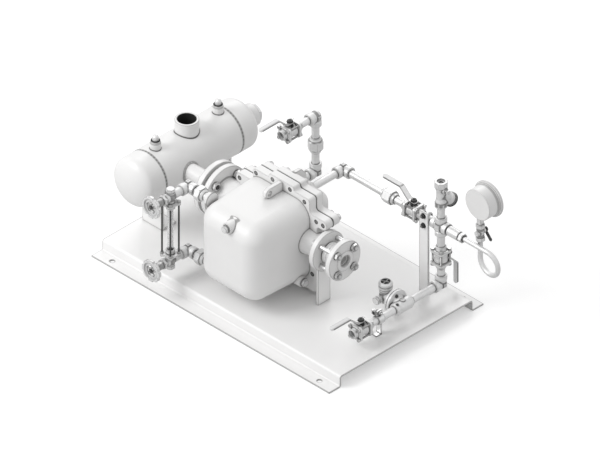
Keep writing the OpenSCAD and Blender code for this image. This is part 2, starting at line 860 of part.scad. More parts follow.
module upper_handwheel() { handwheel(glass_top_z); }
module lower_handwheel() { handwheel(glass_low_z); }

module glass_connections() {
    color(cast) for (z = [glass_low_z, glass_top_z]) difference() {
        union() {
            at([glass_x, glass_arm_y, z]) {
                sphere(d = 28);
                rod_y([0, -cock_a + 4, 0], 28, cock_a - 4);
                rod_x([0, 0, 0], 28, cock_a);
            }
            rod_x([glass_x + cock_a, glass_arm_y, z], 20, boss_x - glass_x - cock_a);
            at([glass_x + cock_a + 14, glass_arm_y, z]) along_x() {
                hex(34, 16);
                translate([0, 0, 16]) cylinder(d = 30, h = 8);
            }
            rod_x([boss_x, glass_arm_y, z], pipe_d, 12);
        }
        rod_x([glass_x, glass_arm_y, z], 10, 300);
        rod_y([glass_x, glass_arm_y - 50, z], 10, 50);
    }
}

// Screwed fittings, each with its middle at the origin
module elbow_form() {
    difference() {
        union() {
            sphere(d = fitting_d - 2);
            cylinder(d = fitting_d - 3, h = fitting_a);
            translate([0, 0, fitting_a - 13]) cylinder(d = fitting_d, h = 13);
            along_y() {
                cylinder(d = fitting_d - 3, h = fitting_a);
                translate([0, 0, fitting_a - 13]) cylinder(d = fitting_d, h = 13);
            }
            translate([0, -fitting_d / 2 + 3, 0]) cube([12, 9, 12], center = true);
        }
        cylinder(d = pipe_bore, h = fitting_a + 1);
        along_y() cylinder(d = pipe_bore, h = fitting_a + 1);
        translate([0, 0, reach]) cylinder(d = socket_d, h = seat + 1);
        along_y() translate([0, 0, reach]) cylinder(d = socket_d, h = seat + 1);
    }
}

module pipe_elbows() {
    color(cast) {
        at([exhaust_x, exhaust_y, top_port_z]) rotate([0, 0, 180]) elbow_form();
        at([exhaust_x, exhaust_y, exhaust_z]) rotate([90, 0, 0]) rotate([0, 0, 180]) elbow_form();
        at([pump_x, steam_y, top_port_z]) rotate([0, 90, 0]) rotate([0, 0, 180]) elbow_form();
        at([cross_x, steam_y, drip_z]) rotate([0, 0, 180]) elbow_form();
    }
}

// Round body that takes the corners off a nut at both of its ends
module nut_round(af, half) {
    slope = (af / cos(30) - af) / 2 + 1;
    for (s = [-1, 1]) scale([1, 1, s]) {
        cylinder(d = af + 2 * slope, h = half - slope * 0.7);
        translate([0, 0, half - slope * 0.7])
            cylinder(d1 = af + 2 * slope, d2 = af, h = slope * 0.7);
    }
}

module union_form() {
    half = union_l / 2;
    difference() {
        union() {
            translate([0, 0, -half]) cylinder(d = 30, h = union_l);
            intersection() {
                translate([0, 0, -9]) hex(union_af, 18);
                nut_round(union_af, 9);
            }
            translate([0, 0, 9]) cylinder(d1 = union_af - 2, d2 = 31, h = 6);
            translate([0, 0, -half + 4]) hex(30, 9);
        }
        translate([0, 0, -half - 1]) cylinder(d = pipe_bore, h = union_l + 2);
        translate([0, 0, -half - 1]) cylinder(d = socket_d, h = seat + 1);
        translate([0, 0, half - seat]) cylinder(d = socket_d, h = seat + 1);
    }
}

exhaust_union_z = (top_port_z + exhaust_z) / 2 - 1.5;

module pipe_unions() {
    color(cast) {
        at([exhaust_x, exhaust_y, exhaust_union_z]) union_form();
        at([steam_union_x, steam_y, top_port_z]) along_x() union_form();
    }
}

module pipe(p, l, way) {
    difference() {
        at(p) rotate(way) cylinder(d = pipe_d, h = l);
        at(p) rotate(way) translate([0, 0, -1]) cylinder(d = pipe_bore, h = l + 2);
    }
}

port_seat_y = cover_back_y + port_boss_l - seat;
connector_l = 63;
strainer_z = top_port_z + 102;
strainer_l = 80;
strainer_leg = 46;
way_x = [0, 90, 0];
way_y = [-90, 0, 0];
way_z = [0, 0, 0];
stub_end_x = cross_x + 84;

// Straight pipes as [start, end, direction]
pipe_runs = [
    [port_seat_y, exhaust_y - reach, [exhaust_x, 0, top_port_z], way_y],
    [top_port_z + reach, exhaust_union_z - union_reach, [exhaust_x, exhaust_y, 0], way_z],
    [exhaust_union_z + union_reach, exhaust_z - reach, [exhaust_x, exhaust_y, 0], way_z],
    [exhaust_valve_y + valve_reach, exhaust_y - reach, [exhaust_x, 0, exhaust_z], way_y],
    [port_seat_y, steam_y - reach, [pump_x, 0, top_port_z], way_y],
    [pump_x + reach, steam_union_x - union_reach, [0, steam_y, top_port_z], way_x],
    [steam_union_x + union_reach, steam_valve_x - valve_reach, [0, steam_y, top_port_z], way_x],
    [steam_valve_x + valve_reach, cross_x - reach, [0, steam_y, top_port_z], way_x],
    [top_port_z + reach, strainer_z - strainer_l / 2 + seat, [cross_x, steam_y, 0], way_z],
    [blowdown_z + valve_reach, top_port_z - reach, [cross_x, steam_y, 0], way_z],
    [drip_z + reach, blowdown_z - valve_reach, [cross_x, steam_y, 0], way_z],
    [connector_y + connector_l / 2 - seat, steam_y - reach, [cross_x, 0, drip_z], way_y],
    [drain_y + valve_reach, connector_y - connector_l / 2 + seat, [cross_x, 0, drip_z], way_y]
];

module pipe_lengths() {
    color(cast) for (r = pipe_runs) {
        axis = r[3] == way_x ? [1, 0, 0] : r[3] == way_y ? [0, 1, 0] : [0, 0, 1];
        pipe(r[2] + r[0] * axis, r[1] - r[0], r[3]);
    }
}

module steam_cross() {
    color(cast) at([cross_x, steam_y, top_port_z]) difference() {
        union() {
            for (a = [0:90:359]) rotate([0, a, 0]) {
                cylinder(d = fitting_d - 3, h = fitting_a);
                translate([0, 0, fitting_a - 13]) cylinder(d = fitting_d, h = 13);
            }
            translate([0, -fitting_d / 2 + 2, 0]) cube([20, 7, 20], center = true);
        }
        for (a = [0:90:359]) rotate([0, a, 0]) {
            cylinder(d = pipe_bore, h = fitting_a + 1);
            translate([0, 0, reach]) cylinder(d = socket_d, h = seat + 1);
        }
    }
}

module steam_strainer() {
    color(cast) difference() {
        at([cross_x, steam_y, strainer_z]) {
            translate([0, 0, -strainer_l / 2]) cylinder(d = 32, h = strainer_l);
            translate([0, 0, strainer_l / 2 - 18]) cylinder(d = 35 / cos(22.5), h = 18, $fn = 8);
            translate([0, 0, -strainer_l / 2]) cylinder(d = 33 / cos(22.5), h = 14, $fn = 8);
            rotate([-135, 0, 0]) cylinder(d = 34, h = strainer_leg);
            at([-3, 0, 0]) rotate([90, 0, 90]) linear_extrude(6)
                polygon([[0, -30], [0, 26], [30, -30], [26, -34]]);
            rod_x([0, 0, 16], 18, 19);
        }
        rod_z([cross_x, steam_y, strainer_z - 50], pipe_bore, 100);
        rod_z([cross_x, steam_y, strainer_z + strainer_l / 2 - seat], socket_d, seat + 1);
        rod_z([cross_x, steam_y, strainer_z - strainer_l / 2 - 1], socket_d, seat + 1);
        at([cross_x, steam_y, strainer_z]) rotate([-135, 0, 0]) translate([0, 0, 4])
            cylinder(d = 22, h = 60);
    }
}

module strainer_cap() {
    color(steel) {
        at([cross_x, steam_y, strainer_z]) rotate([-135, 0, 0]) {
            translate([0, 0, strainer_leg]) cylinder(d = 40, h = 8);
            translate([0, 0, strainer_leg + 8]) hex(22, 7);
        }
        at([cross_x + 19, steam_y, strainer_z + 16]) along_x() {
            cylinder(d = 13, h = 3);
            translate([-5, -5, 3]) cube([10, 10, 8]);
        }
    }
}

// Steam trap beside its pipeline connector
trap_face = 26;
trap_disc_d = 70;
trap_x = cross_x - 62;

module trap_connector() {
    color(cast) difference() {
        union() {
            rod_y([cross_x, connector_y - connector_l / 2, drip_z], 34, connector_l);
            rod_x([cross_x - trap_face, connector_y, drip_z], 50, trap_face);
            rod_x([cross_x - trap_face, connector_y, drip_z], trap_disc_d, 8);
        }
        rod_y([cross_x, connector_y - 60, drip_z], pipe_bore, 120);
        for (s = [-1, 1])
            rod_y([cross_x, connector_y + s * (connector_l / 2 - seat / 2) - seat / 2, drip_z],
                socket_d, seat);
    }
}

module trap_body() {
    color(cast) {
        rod_x([cross_x - trap_face - 8, connector_y, drip_z], trap_disc_d, 8);
        rod_x([trap_x, connector_y, drip_z], 36, 30);
        rod_z([trap_x, connector_y, drip_z - 18], 34, 36);
        rod_y([trap_x, connector_y - 30, drip_z], 22, 30);
        at([trap_x, connector_y - 30, drip_z]) rotate([90, 0, 0]) hex(20, 8);
    }
}

module trap_cap() {
    color(steel) at([trap_x, connector_y, drip_z + 18]) {
        cylinder(d = 34, h = 6);
        translate([0, 0, 6]) cylinder(d = 38, h = 9);
        translate([0, 0, 15]) cylinder(d = 36, h = 2);
        translate([0, 0, 17]) cylinder(d = 38, h = 7);
        translate([0, 0, 24]) cylinder(d1 = 36, d2 = 30, h = 4);
    }
}

// Three-piece ball valve: flow along X, stem up, lever towards +X
ball_gap = 0.3;
stem_d = 8;
bolt_at = 15.6;
stem_z = 25;
lever_t = 4;

module valve_body_form() {
    difference() {
        union() {
            rod_x([-valve_mid_l / 2, 0, 0], 36, valve_mid_l);
            cylinder(d = 18, h = stem_z - 1);
            for (s = [-1, 1]) scale([s, 1, 1]) {
                at([valve_mid_l / 2, 0, 0]) along_x() plate(plate_w, plate_t);
                rod_x([valve_mid_l / 2, 0, 0], 28, valve_l / 2 - valve_mid_l / 2);
            }
        }
        sphere(d = ball_d + 2 * ball_gap);
        rod_x([-valve_l, 0, 0], 13, 2 * valve_l);
        for (s = [-1, 1]) scale([s, 1, 1]) rod_x([valve_reach, 0, 0], socket_d, seat + 1);
        cylinder(d = stem_d + 2 * fit, h = 60);
        along_x() four(bolt_at) cylinder(d = 6.4, h = 80, center = true);
    }
}

module valve_ball_form() {
    difference() {
        union() {
            sphere(d = ball_d);
            cylinder(d = stem_d, h = stem_z + 10);
        }
        rod_x([-30, 0, 0], 13, 60);
    }
}

module valve_lever_form() {
    rise = 16;
    run = 30;
    top = stem_z + lever_lift;
    difference() {
        union() {
            at([0, 8, 0]) rotate([90, 0, 0]) linear_extrude(16) polygon([
                [-10, stem_z], [rise, stem_z], [rise + run, top], [rise + run + grip_l, top],
                [rise + run + grip_l, top + lever_t], [rise + run - 2, top + lever_t],
                [rise - 2, stem_z + lever_t], [-10, stem_z + lever_t]
            ]);
            at([rise + run + grip_l - 6, 0, top - 2]) slot_bar(grip_l - 8, grip_w, 8);
        }
        cylinder(d = stem_d + 2 * fit, h = 60);
    }
    difference() {
        translate([0, 0, stem_z + lever_t]) hex(15, 6);
        cylinder(d = stem_d + 2 * fit, h = 60);
    }
}

// Bar with round ends that runs back along -X
module slot_bar(l, w, h) {
    translate([-l, -w / 2, 0]) cube([l, w, h]);
    cylinder(d = w, h = h);
    translate([-l, 0, 0]) cylinder(d = w, h = h);
}

module valve_bolt_form() {
    grip = valve_mid_l / 2 + plate_t;
    along_x() four(bolt_at) {
        translate([0, 0, -grip]) cylinder(d = 6, h = 2 * grip + 2, $fn = 24);
        translate([0, 0, -grip - 4]) hex(10, 4);
        translate([0, 0, grip]) hex(10, 5);
    }
}

module at_exhaust_valve() {
    at([exhaust_x, exhaust_valve_y, exhaust_z]) rotate([0, 0, -90]) children();
}
module at_steam_valve() {
    at([steam_valve_x, steam_y, top_port_z]) rotate([0, 0, 180]) children();
}
module at_blowdown_valve() {
    at([cross_x, steam_y, blowdown_z]) rotate([-90, 0, 0]) rotate([0, 0, 90]) children();
}
module at_drain_valve() {
    at([cross_x, drain_y, drip_z]) rotate([0, 0, -90]) children();
}

module exhaust_valve_body() { color(cast) at_exhaust_valve() valve_body_form(); }
module steam_valve_body() { color(cast) at_steam_valve() valve_body_form(); }
module blowdown_valve_body() { color(cast) at_blowdown_valve() valve_body_form(); }
module drain_valve_body() { color(cast) at_drain_valve() valve_body_form(); }
module exhaust_valve_ball() { color(bright) at_exhaust_valve() valve_ball_form(); }
module steam_valve_ball() { color(bright) at_steam_valve() valve_ball_form(); }
module blowdown_valve_ball() { color(bright) at_blowdown_valve() valve_ball_form(); }
module drain_valve_ball() { color(bright) at_drain_valve() valve_ball_form(); }
module exhaust_valve_lever() { color(steel) at_exhaust_valve() valve_lever_form(); }
module steam_valve_lever() { color(steel) at_steam_valve() valve_lever_form(); }
module blowdown_valve_lever() { color(steel) at_blowdown_valve() valve_lever_form(); }
module drain_valve_lever() { color(steel) at_drain_valve() valve_lever_form(); }

module valve_bolts() {
    color(bright) {
        at_exhaust_valve() valve_bolt_form();
        at_steam_valve() valve_bolt_form();
        at_blowdown_valve() valve_bolt_form();
        at_drain_valve() valve_bolt_form();
    }
}

// Post under the steam line, and the clamps on the two lines
post_w = 32;
post_t = 5;
post_x = cross_x - fitting_a - post_w / 2 - 4;
post_y = steam_y - pipe_d / 2 - post_t - 0.3;
clamp_y = drain_y + 66;

module pipe_post() {
    color(steel) difference() {
        union() {
            at([post_x - post_w / 2, post_y, base_h]) cube([post_w, post_t, top_port_z + 26 - base_h]);
            at([post_x - post_w / 2, post_y, base_h]) cube([post_w, 40, post_t]);
        }
        for (s = [-1, 1]) rod_y([post_x, post_y - 1, top_port_z + s * 15], 6.6, post_t + 2);
    }
}

// Knob with five lobes on the clamp's screw
knob_t = 9;

module clamp_knob() {
    difference() {
        union() {
            cylinder(d = 13, h = knob_t);
            for (i = [0:4]) rotate(72 * i) translate([6, 0, 2]) cylinder(d = 7, h = knob_t - 2);
        }
        translate([0, 0, -1]) cylinder(d = 7, h = 4);
    }
}

module pipe_clamps() {
    r = 15;
    color(bright) {
        at([post_x, steam_y, top_port_z]) {
            intersection() {
                rotate([0, 90, 0]) rotate_extrude() translate([r, 0]) circle(d = 6, $fn = 24);
                at([-10, 0, -30]) cube([20, 30, 60]);
            }
            for (s = [-1, 1]) {
                rod_y([0, post_y - steam_y - 10, s * r], 6, steam_y - post_y + 10);
                at([0, post_y - steam_y, s * r]) rotate([90, 0, 0]) hex(11, 5);
            }
        }
        difference() {
            union() {
                rod_y([cross_x, clamp_y - 10, drip_z], pipe_d + 6.6, 20);
                at([cross_x - 8.5, clamp_y - 2, base_h]) cube([17, 4, drip_z - base_h]);
                at([cross_x - 3, clamp_y - 10, drip_z + 10]) cube([6, 20, 18]);
                at([cross_x - 8.5, clamp_y - 18, base_h]) cube([17, 20, 3]);
            }
            rod_y([cross_x, clamp_y - 30, drip_z], pipe_d + 2 * fit, 60);
        }
        at([cross_x - 3 - knob_t, clamp_y, drip_z + 21]) along_x() clamp_knob();
        at([cross_x + 3, clamp_y, drip_z + 21]) along_x() hex(10, 5);
    }
}

// Pigtail siphon, gauge cock and pressure gauge
siphon_y = steam_y + siphon_step;
loop_x = gauge_x + siphon_r;
loop_z = top_port_z - siphon_r;
cock_z = top_port_z + 9;

module siphon_tube() {
    turn_n = 24;
    loop = [for (i = [0:turn_n]) let (a = 90 - 270 * i / turn_n)
        [loop_x + siphon_r * cos(a), steam_y + siphon_step * i / turn_n,
         loop_z + siphon_r * sin(a)]];
    path = concat(
        [[stub_end_x - 12, steam_y, top_port_z]],
        loop,
        [[gauge_x, siphon_y, cock_z]]
    );
    color(cast) {
        sweep(path, [0, 1, 0], siphon_d, 12);
        pipe([cross_x + reach, steam_y, top_port_z], 30, way_x);
        difference() {
            at([cross_x + fitting_a + 6, steam_y, top_port_z]) along_x() {
                cylinder(d = 27, h = 36);
                translate([0, 0, 36]) hex(24, 14);
            }
            rod_x([cross_x, steam_y, top_port_z], socket_d, reach + 30);
            rod_x([cross_x, steam_y, top_port_z], siphon_d + 2 * fit, 300);
        }
    }
}

module gauge_cock() {
    color(cast) difference() {
        at([gauge_x, siphon_y, cock_z]) {
            hex(22, 12);
            cylinder(d = 17, h = 52);
            translate([0, 0, 26]) sphere(d = 26);
            rod_y([0, -15, 26], 14, 30);
            translate([0, 0, 40]) hex(22, 12);
        }
        rod_y([gauge_x, siphon_y - 6, cock_z + 26], 8 + 2 * fit, 40);
        rod_z([gauge_x, siphon_y, cock_z - 1], 6, 60);
    }
}

module gauge_cock_lever() {
    color(steel) at([gauge_x, siphon_y, cock_z + 26]) {
        rod_y([0, -5, 0], 8, 28);
        rod_y([0, 15.4, 0], 13, 4);
        rotate([0, -40, 0]) at([-4, 15.4, -34]) cube([8, 4, 34]);
    }
}

case_front_y = siphon_y - 11.5;

module gauge_case() {
    color("whitesmoke") difference() {
        union() {
            rod_y([gauge_x, case_front_y, gauge_z], gauge_d, gauge_depth);
            rod_y([gauge_x, case_front_y + gauge_depth - 4, gauge_z], gauge_d + 14, 8);
            at([gauge_x - 7, siphon_y - 7, cock_z + 52]) cube([14, 14, gauge_z - 40 - cock_z - 52]);
        }
        rod_y([gauge_x, case_front_y + 3, gauge_z], gauge_d - 5, gauge_depth + 10);
    }
}

module gauge_dial() {
    color("white") difference() {
        rod_y([gauge_x, case_front_y + gauge_depth - 12, gauge_z], gauge_d - 5.4, 1.5);
        rod_y([gauge_x, case_front_y, gauge_z], 4, 100);
    }
}

module gauge_pointer() {
    color("black") at([gauge_x, case_front_y + gauge_depth - 10, gauge_z]) {
        rod_y([0, -8, 0], 3.6, 10);
        rotate([0, -135, 0]) at([-1.2, 0, -12]) cube([2.4, 1, 46]);
        rod_y([0, 0, 0], 9, 1.6);
    }
}

module gauge_lens() {
    color("lightcyan") rod_y([gauge_x, case_front_y + gauge_depth - 1, gauge_z], gauge_d - 5.4, 3);
}

base_plate();
pump_legs();
receiver_brackets();
pipe_post();
pipe_clamps();
receiver_shell();
plugs();
pump_body();
pump_cover();
gaskets();
cover_bolts();
mechanism_frame();
float_ball();
float_lever();
snap_arm();
trip_spring();
push_rod();
inlet_check_ring();
inlet_check_flap();
outlet_check_body();
outlet_check_disc();
outlet_flange();
flange_bolts();
glass_cocks();
glass_tube();
guard_rods();
gland_nuts();
glass_connections();
upper_handwheel();
lower_handwheel();
pipe_lengths();
pipe_elbows();
pipe_unions();
steam_cross();
steam_strainer();
strainer_cap();
trap_connector();
trap_body();
trap_cap();
exhaust_valve_body();
steam_valve_body();
blowdown_valve_body();
drain_valve_body();
valve_bolts();
exhaust_valve_ball();
steam_valve_ball();
blowdown_valve_ball();
drain_valve_ball();
exhaust_valve_lever();
steam_valve_lever();
blowdown_valve_lever();
drain_valve_lever();
siphon_tube();
gauge_cock();
gauge_cock_lever();
gauge_case();
gauge_dial();
gauge_pointer();
gauge_lens();
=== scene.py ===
# %% [markdown]
# # A pressure-powered condensate pump, dressed cell by cell
# The real object is a small skid: a folded base plate that carries a receiver, a cast pump and a
# run of half inch steam pipe. The solids come packed from the CAD model. Blender adds what a solid
# lacks: cast corners, weld beads, threads, chamfers and a finish for every piece.
# All shapes below are worked out with numpy in millimetres and put into meshes in metres.

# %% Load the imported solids
import fnmatch
import json
import math
from functools import partialmethod

import bmesh
import bpy
import numpy as np
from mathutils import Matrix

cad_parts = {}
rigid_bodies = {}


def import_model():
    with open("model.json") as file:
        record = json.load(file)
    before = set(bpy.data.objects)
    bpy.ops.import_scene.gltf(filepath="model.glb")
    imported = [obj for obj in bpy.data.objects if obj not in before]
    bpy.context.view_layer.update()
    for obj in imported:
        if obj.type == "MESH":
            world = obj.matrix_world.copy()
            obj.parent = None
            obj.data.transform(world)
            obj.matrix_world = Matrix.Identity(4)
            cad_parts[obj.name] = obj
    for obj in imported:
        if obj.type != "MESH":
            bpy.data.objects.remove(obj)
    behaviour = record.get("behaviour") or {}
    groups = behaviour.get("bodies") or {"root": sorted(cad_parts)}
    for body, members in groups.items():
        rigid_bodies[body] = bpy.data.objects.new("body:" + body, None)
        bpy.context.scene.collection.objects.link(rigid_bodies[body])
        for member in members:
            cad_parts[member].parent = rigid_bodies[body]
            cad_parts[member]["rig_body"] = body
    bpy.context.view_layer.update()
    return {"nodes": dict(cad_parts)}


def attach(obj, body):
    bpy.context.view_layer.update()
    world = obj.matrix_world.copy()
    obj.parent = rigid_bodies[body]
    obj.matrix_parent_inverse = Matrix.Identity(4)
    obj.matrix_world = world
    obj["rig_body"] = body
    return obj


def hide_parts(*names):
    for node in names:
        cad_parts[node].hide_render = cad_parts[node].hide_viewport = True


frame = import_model()
nodes = frame["nodes"]
MM = 0.001

# %% [markdown]
# ## The view
# The photograph is a true isometric drawing, so parallel lines stay parallel. A camera with a
# wide lens far away could come near that, but an orthographic camera is exact: it looks along
# the cube's diagonal, and its scale is the picture's width in metres.

# %% Camera
PIXELS_PER_METRE = 385.0
PICTURE_WIDTH = 600
picture_middle = np.array([-0.1384, 0.1844, 0.0])
back = np.array([1.0, -1.0, 1.0]) / math.sqrt(3)


def in_scene(name, data):
    """A new object that holds data, linked to the scene."""
    made = bpy.data.objects.new(name, data)
    bpy.context.scene.collection.objects.link(made)
    return made


camera = in_scene("camera", bpy.data.cameras.new("camera"))
camera.data.type = "ORTHO"
camera.data.ortho_scale = PICTURE_WIDTH / PIXELS_PER_METRE
camera.location = picture_middle + 4.0 * back
camera.rotation_euler = (math.acos(back[2]), 0, math.atan2(back[0], -back[1]))
camera.data.clip_end = 20
bpy.context.scene.camera = camera
print("camera looks along", -back)

# %% [markdown]
# ## Light and floor
# The drawing has one rule for its light: faces to the front left and on top are white, faces to
# the right are pale grey. A broad lamp on the left gives that, a weaker one behind lifts the far
# edges, and the world fills the shade. The floor is pale enough to melt into the white page while
# it keeps the shadow.

# %% Lamps
AIM = np.array((0.0, 0.0, 0.2))


def lamp(name, place, size, watts):
    """A square area lamp at place that shines towards the middle of the skid."""
    made = in_scene(name, bpy.data.lights.new(name, "AREA"))
    made.data.size, made.data.energy = size, watts
    made.location = place
    way = AIM - place
    level = math.hypot(way[0], way[1])
    made.rotation_euler = (math.atan2(level, -way[2]), 0, math.atan2(-way[0], way[1]))


lamp("key", (-1.6, -2.6, 2.7), 1.8, 80)
lamp("rim", (-1.8, 2.4, 2.2), 1.6, 24)
bpy.context.scene.view_settings.view_transform = "Standard"
print(len(bpy.data.lights), "lamps")

# %% [markdown]
# ## Shader maths in plain sums
# A material is a graph of small nodes. Wiring a Math node for every plus and times hides the
# idea, so one small class wraps a socket: an expression such as 1 - mask * 0.5 adds its nodes.

# %% Wire, Graph and Finish
class Wire:
    """A socket that can be used in sums: each operator adds one Math node."""

    def __init__(self, graph, socket):
        self.graph, self.socket = graph, socket

    def math(self, operation, *values, clamp=False):
        """One Math node of this operation, with the wire as its first value."""
        return self.graph.node(
            "ShaderNodeMath", {"operation": operation, "use_clamp": clamp},
            dict(enumerate((self, *values))))

    __add__ = __radd__ = partialmethod(math, "ADD")
    __sub__ = partialmethod(math, "SUBTRACT")
    __mul__ = __rmul__ = partialmethod(math, "MULTIPLY")
    __pow__ = partialmethod(math, "POWER")

    def __rsub__(self, other):
        return self.graph.node("ShaderNodeMath", {"operation": "SUBTRACT"}, {0: other, 1: self})

    def clamp(self):
        """The wire held between 0 and 1."""
        return self.math("ADD", 0.0, clamp=True)


class Graph:
    """A node tree that hands out its sockets as wires."""

    def __init__(self, tree):
        self.tree = tree

    def join(self, socket, value):
        """Links a wire to an input, or sets the input to a constant."""
        if isinstance(value, Wire):
            self.tree.links.new(value.socket, socket)
        else:
            socket.default_value = value

    def node(self, kind, settings=None, inputs=None, out=0):
        """A node of a type, with its settings first, then its inputs, and one output as a wire."""
        made = self.tree.nodes.new(kind)
        for key, value in (settings or {}).items():
            setattr(made, key, value)
        for key, value in (inputs or {}).items():
            self.join(made.inputs[key], value)
        return Wire(self, made.outputs[out])


class Finish(Graph):
    """A material whose Principled shader is fed by wires and constants."""

    def __init__(self, name):
        self.material = bpy.data.materials.new(name)
        self.material.use_nodes = True
        super().__init__(self.material.node_tree)
        self.shader = self.tree.nodes["Principled BSDF"]
        self.place = self.node("ShaderNodeTexCoord", out="Object")

    def noise(self, scale, detail=3.0, rough=0.5):
        """Cloudy noise of about scale blobs in a metre, from 0 to 1."""
        return self.node("ShaderNodeTexNoise", {}, {
            "Vector": self.place, "Scale": scale, "Detail": detail, "Roughness": rough})

    def mix(self, share, a, b):
        """The colour a where share is 0 and b where it is 1."""
        return self.node("ShaderNodeMix", {"data_type": "RGBA"}, {0: share, 6: a, 7: b}, out=2)

    def hollow(self, distance, power):
        """How deep a point lies in a corner: 0 in the open, 1 in a tight crevice."""
        open_share = self.node("ShaderNodeAmbientOcclusion", {"samples": 8}, {
            "Distance": distance}, out="AO")
        return (1 - open_share) ** power

    def rim(self, distance, gain=2.0):
        """How close a point lies to an outer edge: the same test, looked at from inside."""
        solid = self.node("ShaderNodeAmbientOcclusion", {
            "samples": 8, "inside": True, "only_local": True}, {
            "Distance": distance}, out="AO")
        return ((1 - solid) * gain).clamp()

    def feed(self, values):
        """Links or sets the shader's sockets, and returns the material."""
        for name, value in values.items():
            self.join(self.shader.inputs[name], value)
        return self.material

    def relief(self, height, depth):
        """A height put through a Bump node as a normal, with depth in metres."""
        return self.node("ShaderNodeBump", {}, {
            "Height": height, "Distance": depth, "Strength": 1.0})


def grey(value, warm=0.0):
    """A grey of this value, a little warmer when warm is above 0 and cooler below."""
    return (value * (1 + warm), value, value * (1 - warm), 1)


print("shader helpers ready")

# %% Floor and world
HALF, FILL = 6.0, 0.74
mesh = bpy.data.meshes.new("floor")
mesh.from_pydata([(-HALF, -HALF, 0), (HALF, -HALF, 0), (HALF, HALF, 0), (-HALF, HALF, 0)],
                 [], [(0, 1, 2, 3)])
page = Finish("page")
seen_ray = page.node("ShaderNodeLightPath", out="Is Camera Ray")
mesh.materials.append(page.feed({
    "Base Color": grey(0.62), "Roughness": 0.9, "Emission Color": grey(1.0),
    "Emission Strength": seen_ray * 0.42}))
floor = in_scene("floor", mesh)

world = bpy.data.worlds.new("studio")
bpy.context.scene.world = world
world.use_nodes = True
sky = Graph(world.node_tree)
camera_ray = sky.node("ShaderNodeLightPath", out="Is Camera Ray")
glossy_ray = sky.node("ShaderNodeLightPath", out="Is Glossy Ray")
background = sky.tree.nodes["Background"].inputs
seen = camera_ray.math("MAXIMUM", glossy_ray)
sky.join(background["Strength"], seen.math("MULTIPLY_ADD", 1 - FILL, FILL))
sky.join(background["Color"], grey(1.0))
print("floor and world ready")

# %% [markdown]
# ## Finishes
# The drawing shows everything in white and pale grey. On such skids the castings, vessel and
# steelwork carry a pale satin paint, and the screwed fittings are plain zinc-grey steel. Each
# finish has a fine grain of its own, and painted shade that darkens its corners. Outer edges
# are a little darker too, where the drawing has its lines.

# %% Painted and metal finishes
def paint(name, tone, grain, depth, rough):
    """Satin paint on metal: a faint cloud in the colour, painted shade in hollows, darker edges, a
    grain.
    """
    look = Finish(name)
    cloud, fine = look.noise(9.0, 4.0), look.noise(grain, 2.0, 0.6)
    # Painted shade: an ambient occlusion test darkens the colour in corners and crevices, and a
    # noise varies its strength in patches.
    shade_patches = ((look.noise(60.0, 5.0, 0.7) - 0.56) * 6).clamp()
    corner_shade = (look.hollow(0.014, 1.6) * (0.75 + shade_patches * 0.25)).clamp()
    base = look.mix(cloud, grey(tone * 0.96, 0.004), grey(tone * 1.03, 0.004))
    shaded_colour = look.mix(corner_shade, base, grey(tone * 0.34, 0.02))
    return look.feed({
        "Base Color": look.mix(look.rim(0.003, 2.6) * 0.8, shaded_colour, grey(tone * 0.3, 0.01)),
        "Roughness": fine * 0.1 + cloud * 0.08 + rough,
        "Coat Weight": 0.12, "Coat Roughness": 0.3,
        "Normal": look.relief(fine * 0.7 + look.noise(grain / 5) * 0.6, depth)})


def metal(name, tone, rough, grain=700.0, metallic=0.9, depth=0.00004):
    """Plain or plated metal: a mottled plating, painted shade in hollows, darker edges, a fine
    grain.
    """
    look = Finish(name)
    fine, mottle = look.noise(grain, 2.0, 0.6), look.noise(110.0, 4.0)
    # Painted shade: an ambient occlusion test darkens the colour in corners and crevices.
    corner_shade = (look.hollow(0.005, 1.2) * 1.5).clamp()
    base = look.mix(mottle, grey(tone * 0.9), grey(tone * 1.08))
    shaded_colour = look.mix(corner_shade, base, grey(tone * 0.16, 0.02))
    return look.feed({
        "Base Color": look.mix(look.rim(0.0024) * 0.8, shaded_colour, grey(tone * 0.22, 0.01)),
        "Metallic": metallic, "Roughness": fine * 0.16 + mottle * 0.08 + rough,
        "Normal": look.relief(fine, depth)})


def plain(name, colour, rough, grain=900.0, depth=0.00003):
    """Rubber, plastic or dial lacquer in one colour, with a fine grain."""
    look = Finish(name)
    fine = look.noise(grain, 2.0)
    darker = tuple(c * 0.86 for c in colour[:3]) + (1,)
    return look.feed({"Base Color": look.mix(fine, colour, darker),
                      "Roughness": fine * 0.12 + rough, "Normal": look.relief(fine, depth)})


def glass(name):
    """Clear gauge glass."""
    look = Finish(name)
    return look.feed({"Base Color": look.mix(look.noise(30.0), grey(0.84, -0.01), grey(0.88)),
                      "Roughness": look.noise(40.0) * 0.02 + 0.02,
                      "Transmission Weight": 1.0, "IOR": 1.4})


casting_paint = paint("casting_paint", 0.75, 420.0, 0.00022, 0.36)
vessel_paint = paint("vessel_paint", 0.75, 650.0, 0.00008, 0.3)
plate_paint = paint("plate_paint", 0.84, 900.0, 0.00006, 0.34)
fitting_steel = metal("fitting_steel", 0.74, 0.36, 500.0, 0.55, 0.00009)
pipe_steel = metal("pipe_steel", 0.76, 0.34, 300.0, 0.6)
zinc = metal("zinc", 0.72, 0.24)
lever_zinc = metal("lever_zinc", 0.74, 0.28)
spring_steel = metal("spring_steel", 0.6, 0.22)
dark_steel = metal("dark_steel", 0.1, 0.4, metallic=0.7)
weld_steel = metal("weld_steel", 0.3, 0.5, 260.0, 0.5, 0.00012)
# The near-black below is painted shade, put inside holes, grooves, recesses and the vessel.
painted_shade_black = plain("painted_shade_black", grey(0.012), 0.7)
black_rubber = plain("black_rubber", grey(0.02), 0.5)
sleeve_vinyl = plain("sleeve_vinyl", grey(0.72), 0.42, 260.0, 0.00006)
dial_lacquer = plain("dial_lacquer", (0.86, 0.86, 0.85, 1), 0.4, 300.0, 0.00001)
pointer_black = plain("pointer_black", grey(0.015), 0.35)
gauge_glass = glass("gauge_glass")
print(len(bpy.data.materials), "materials")

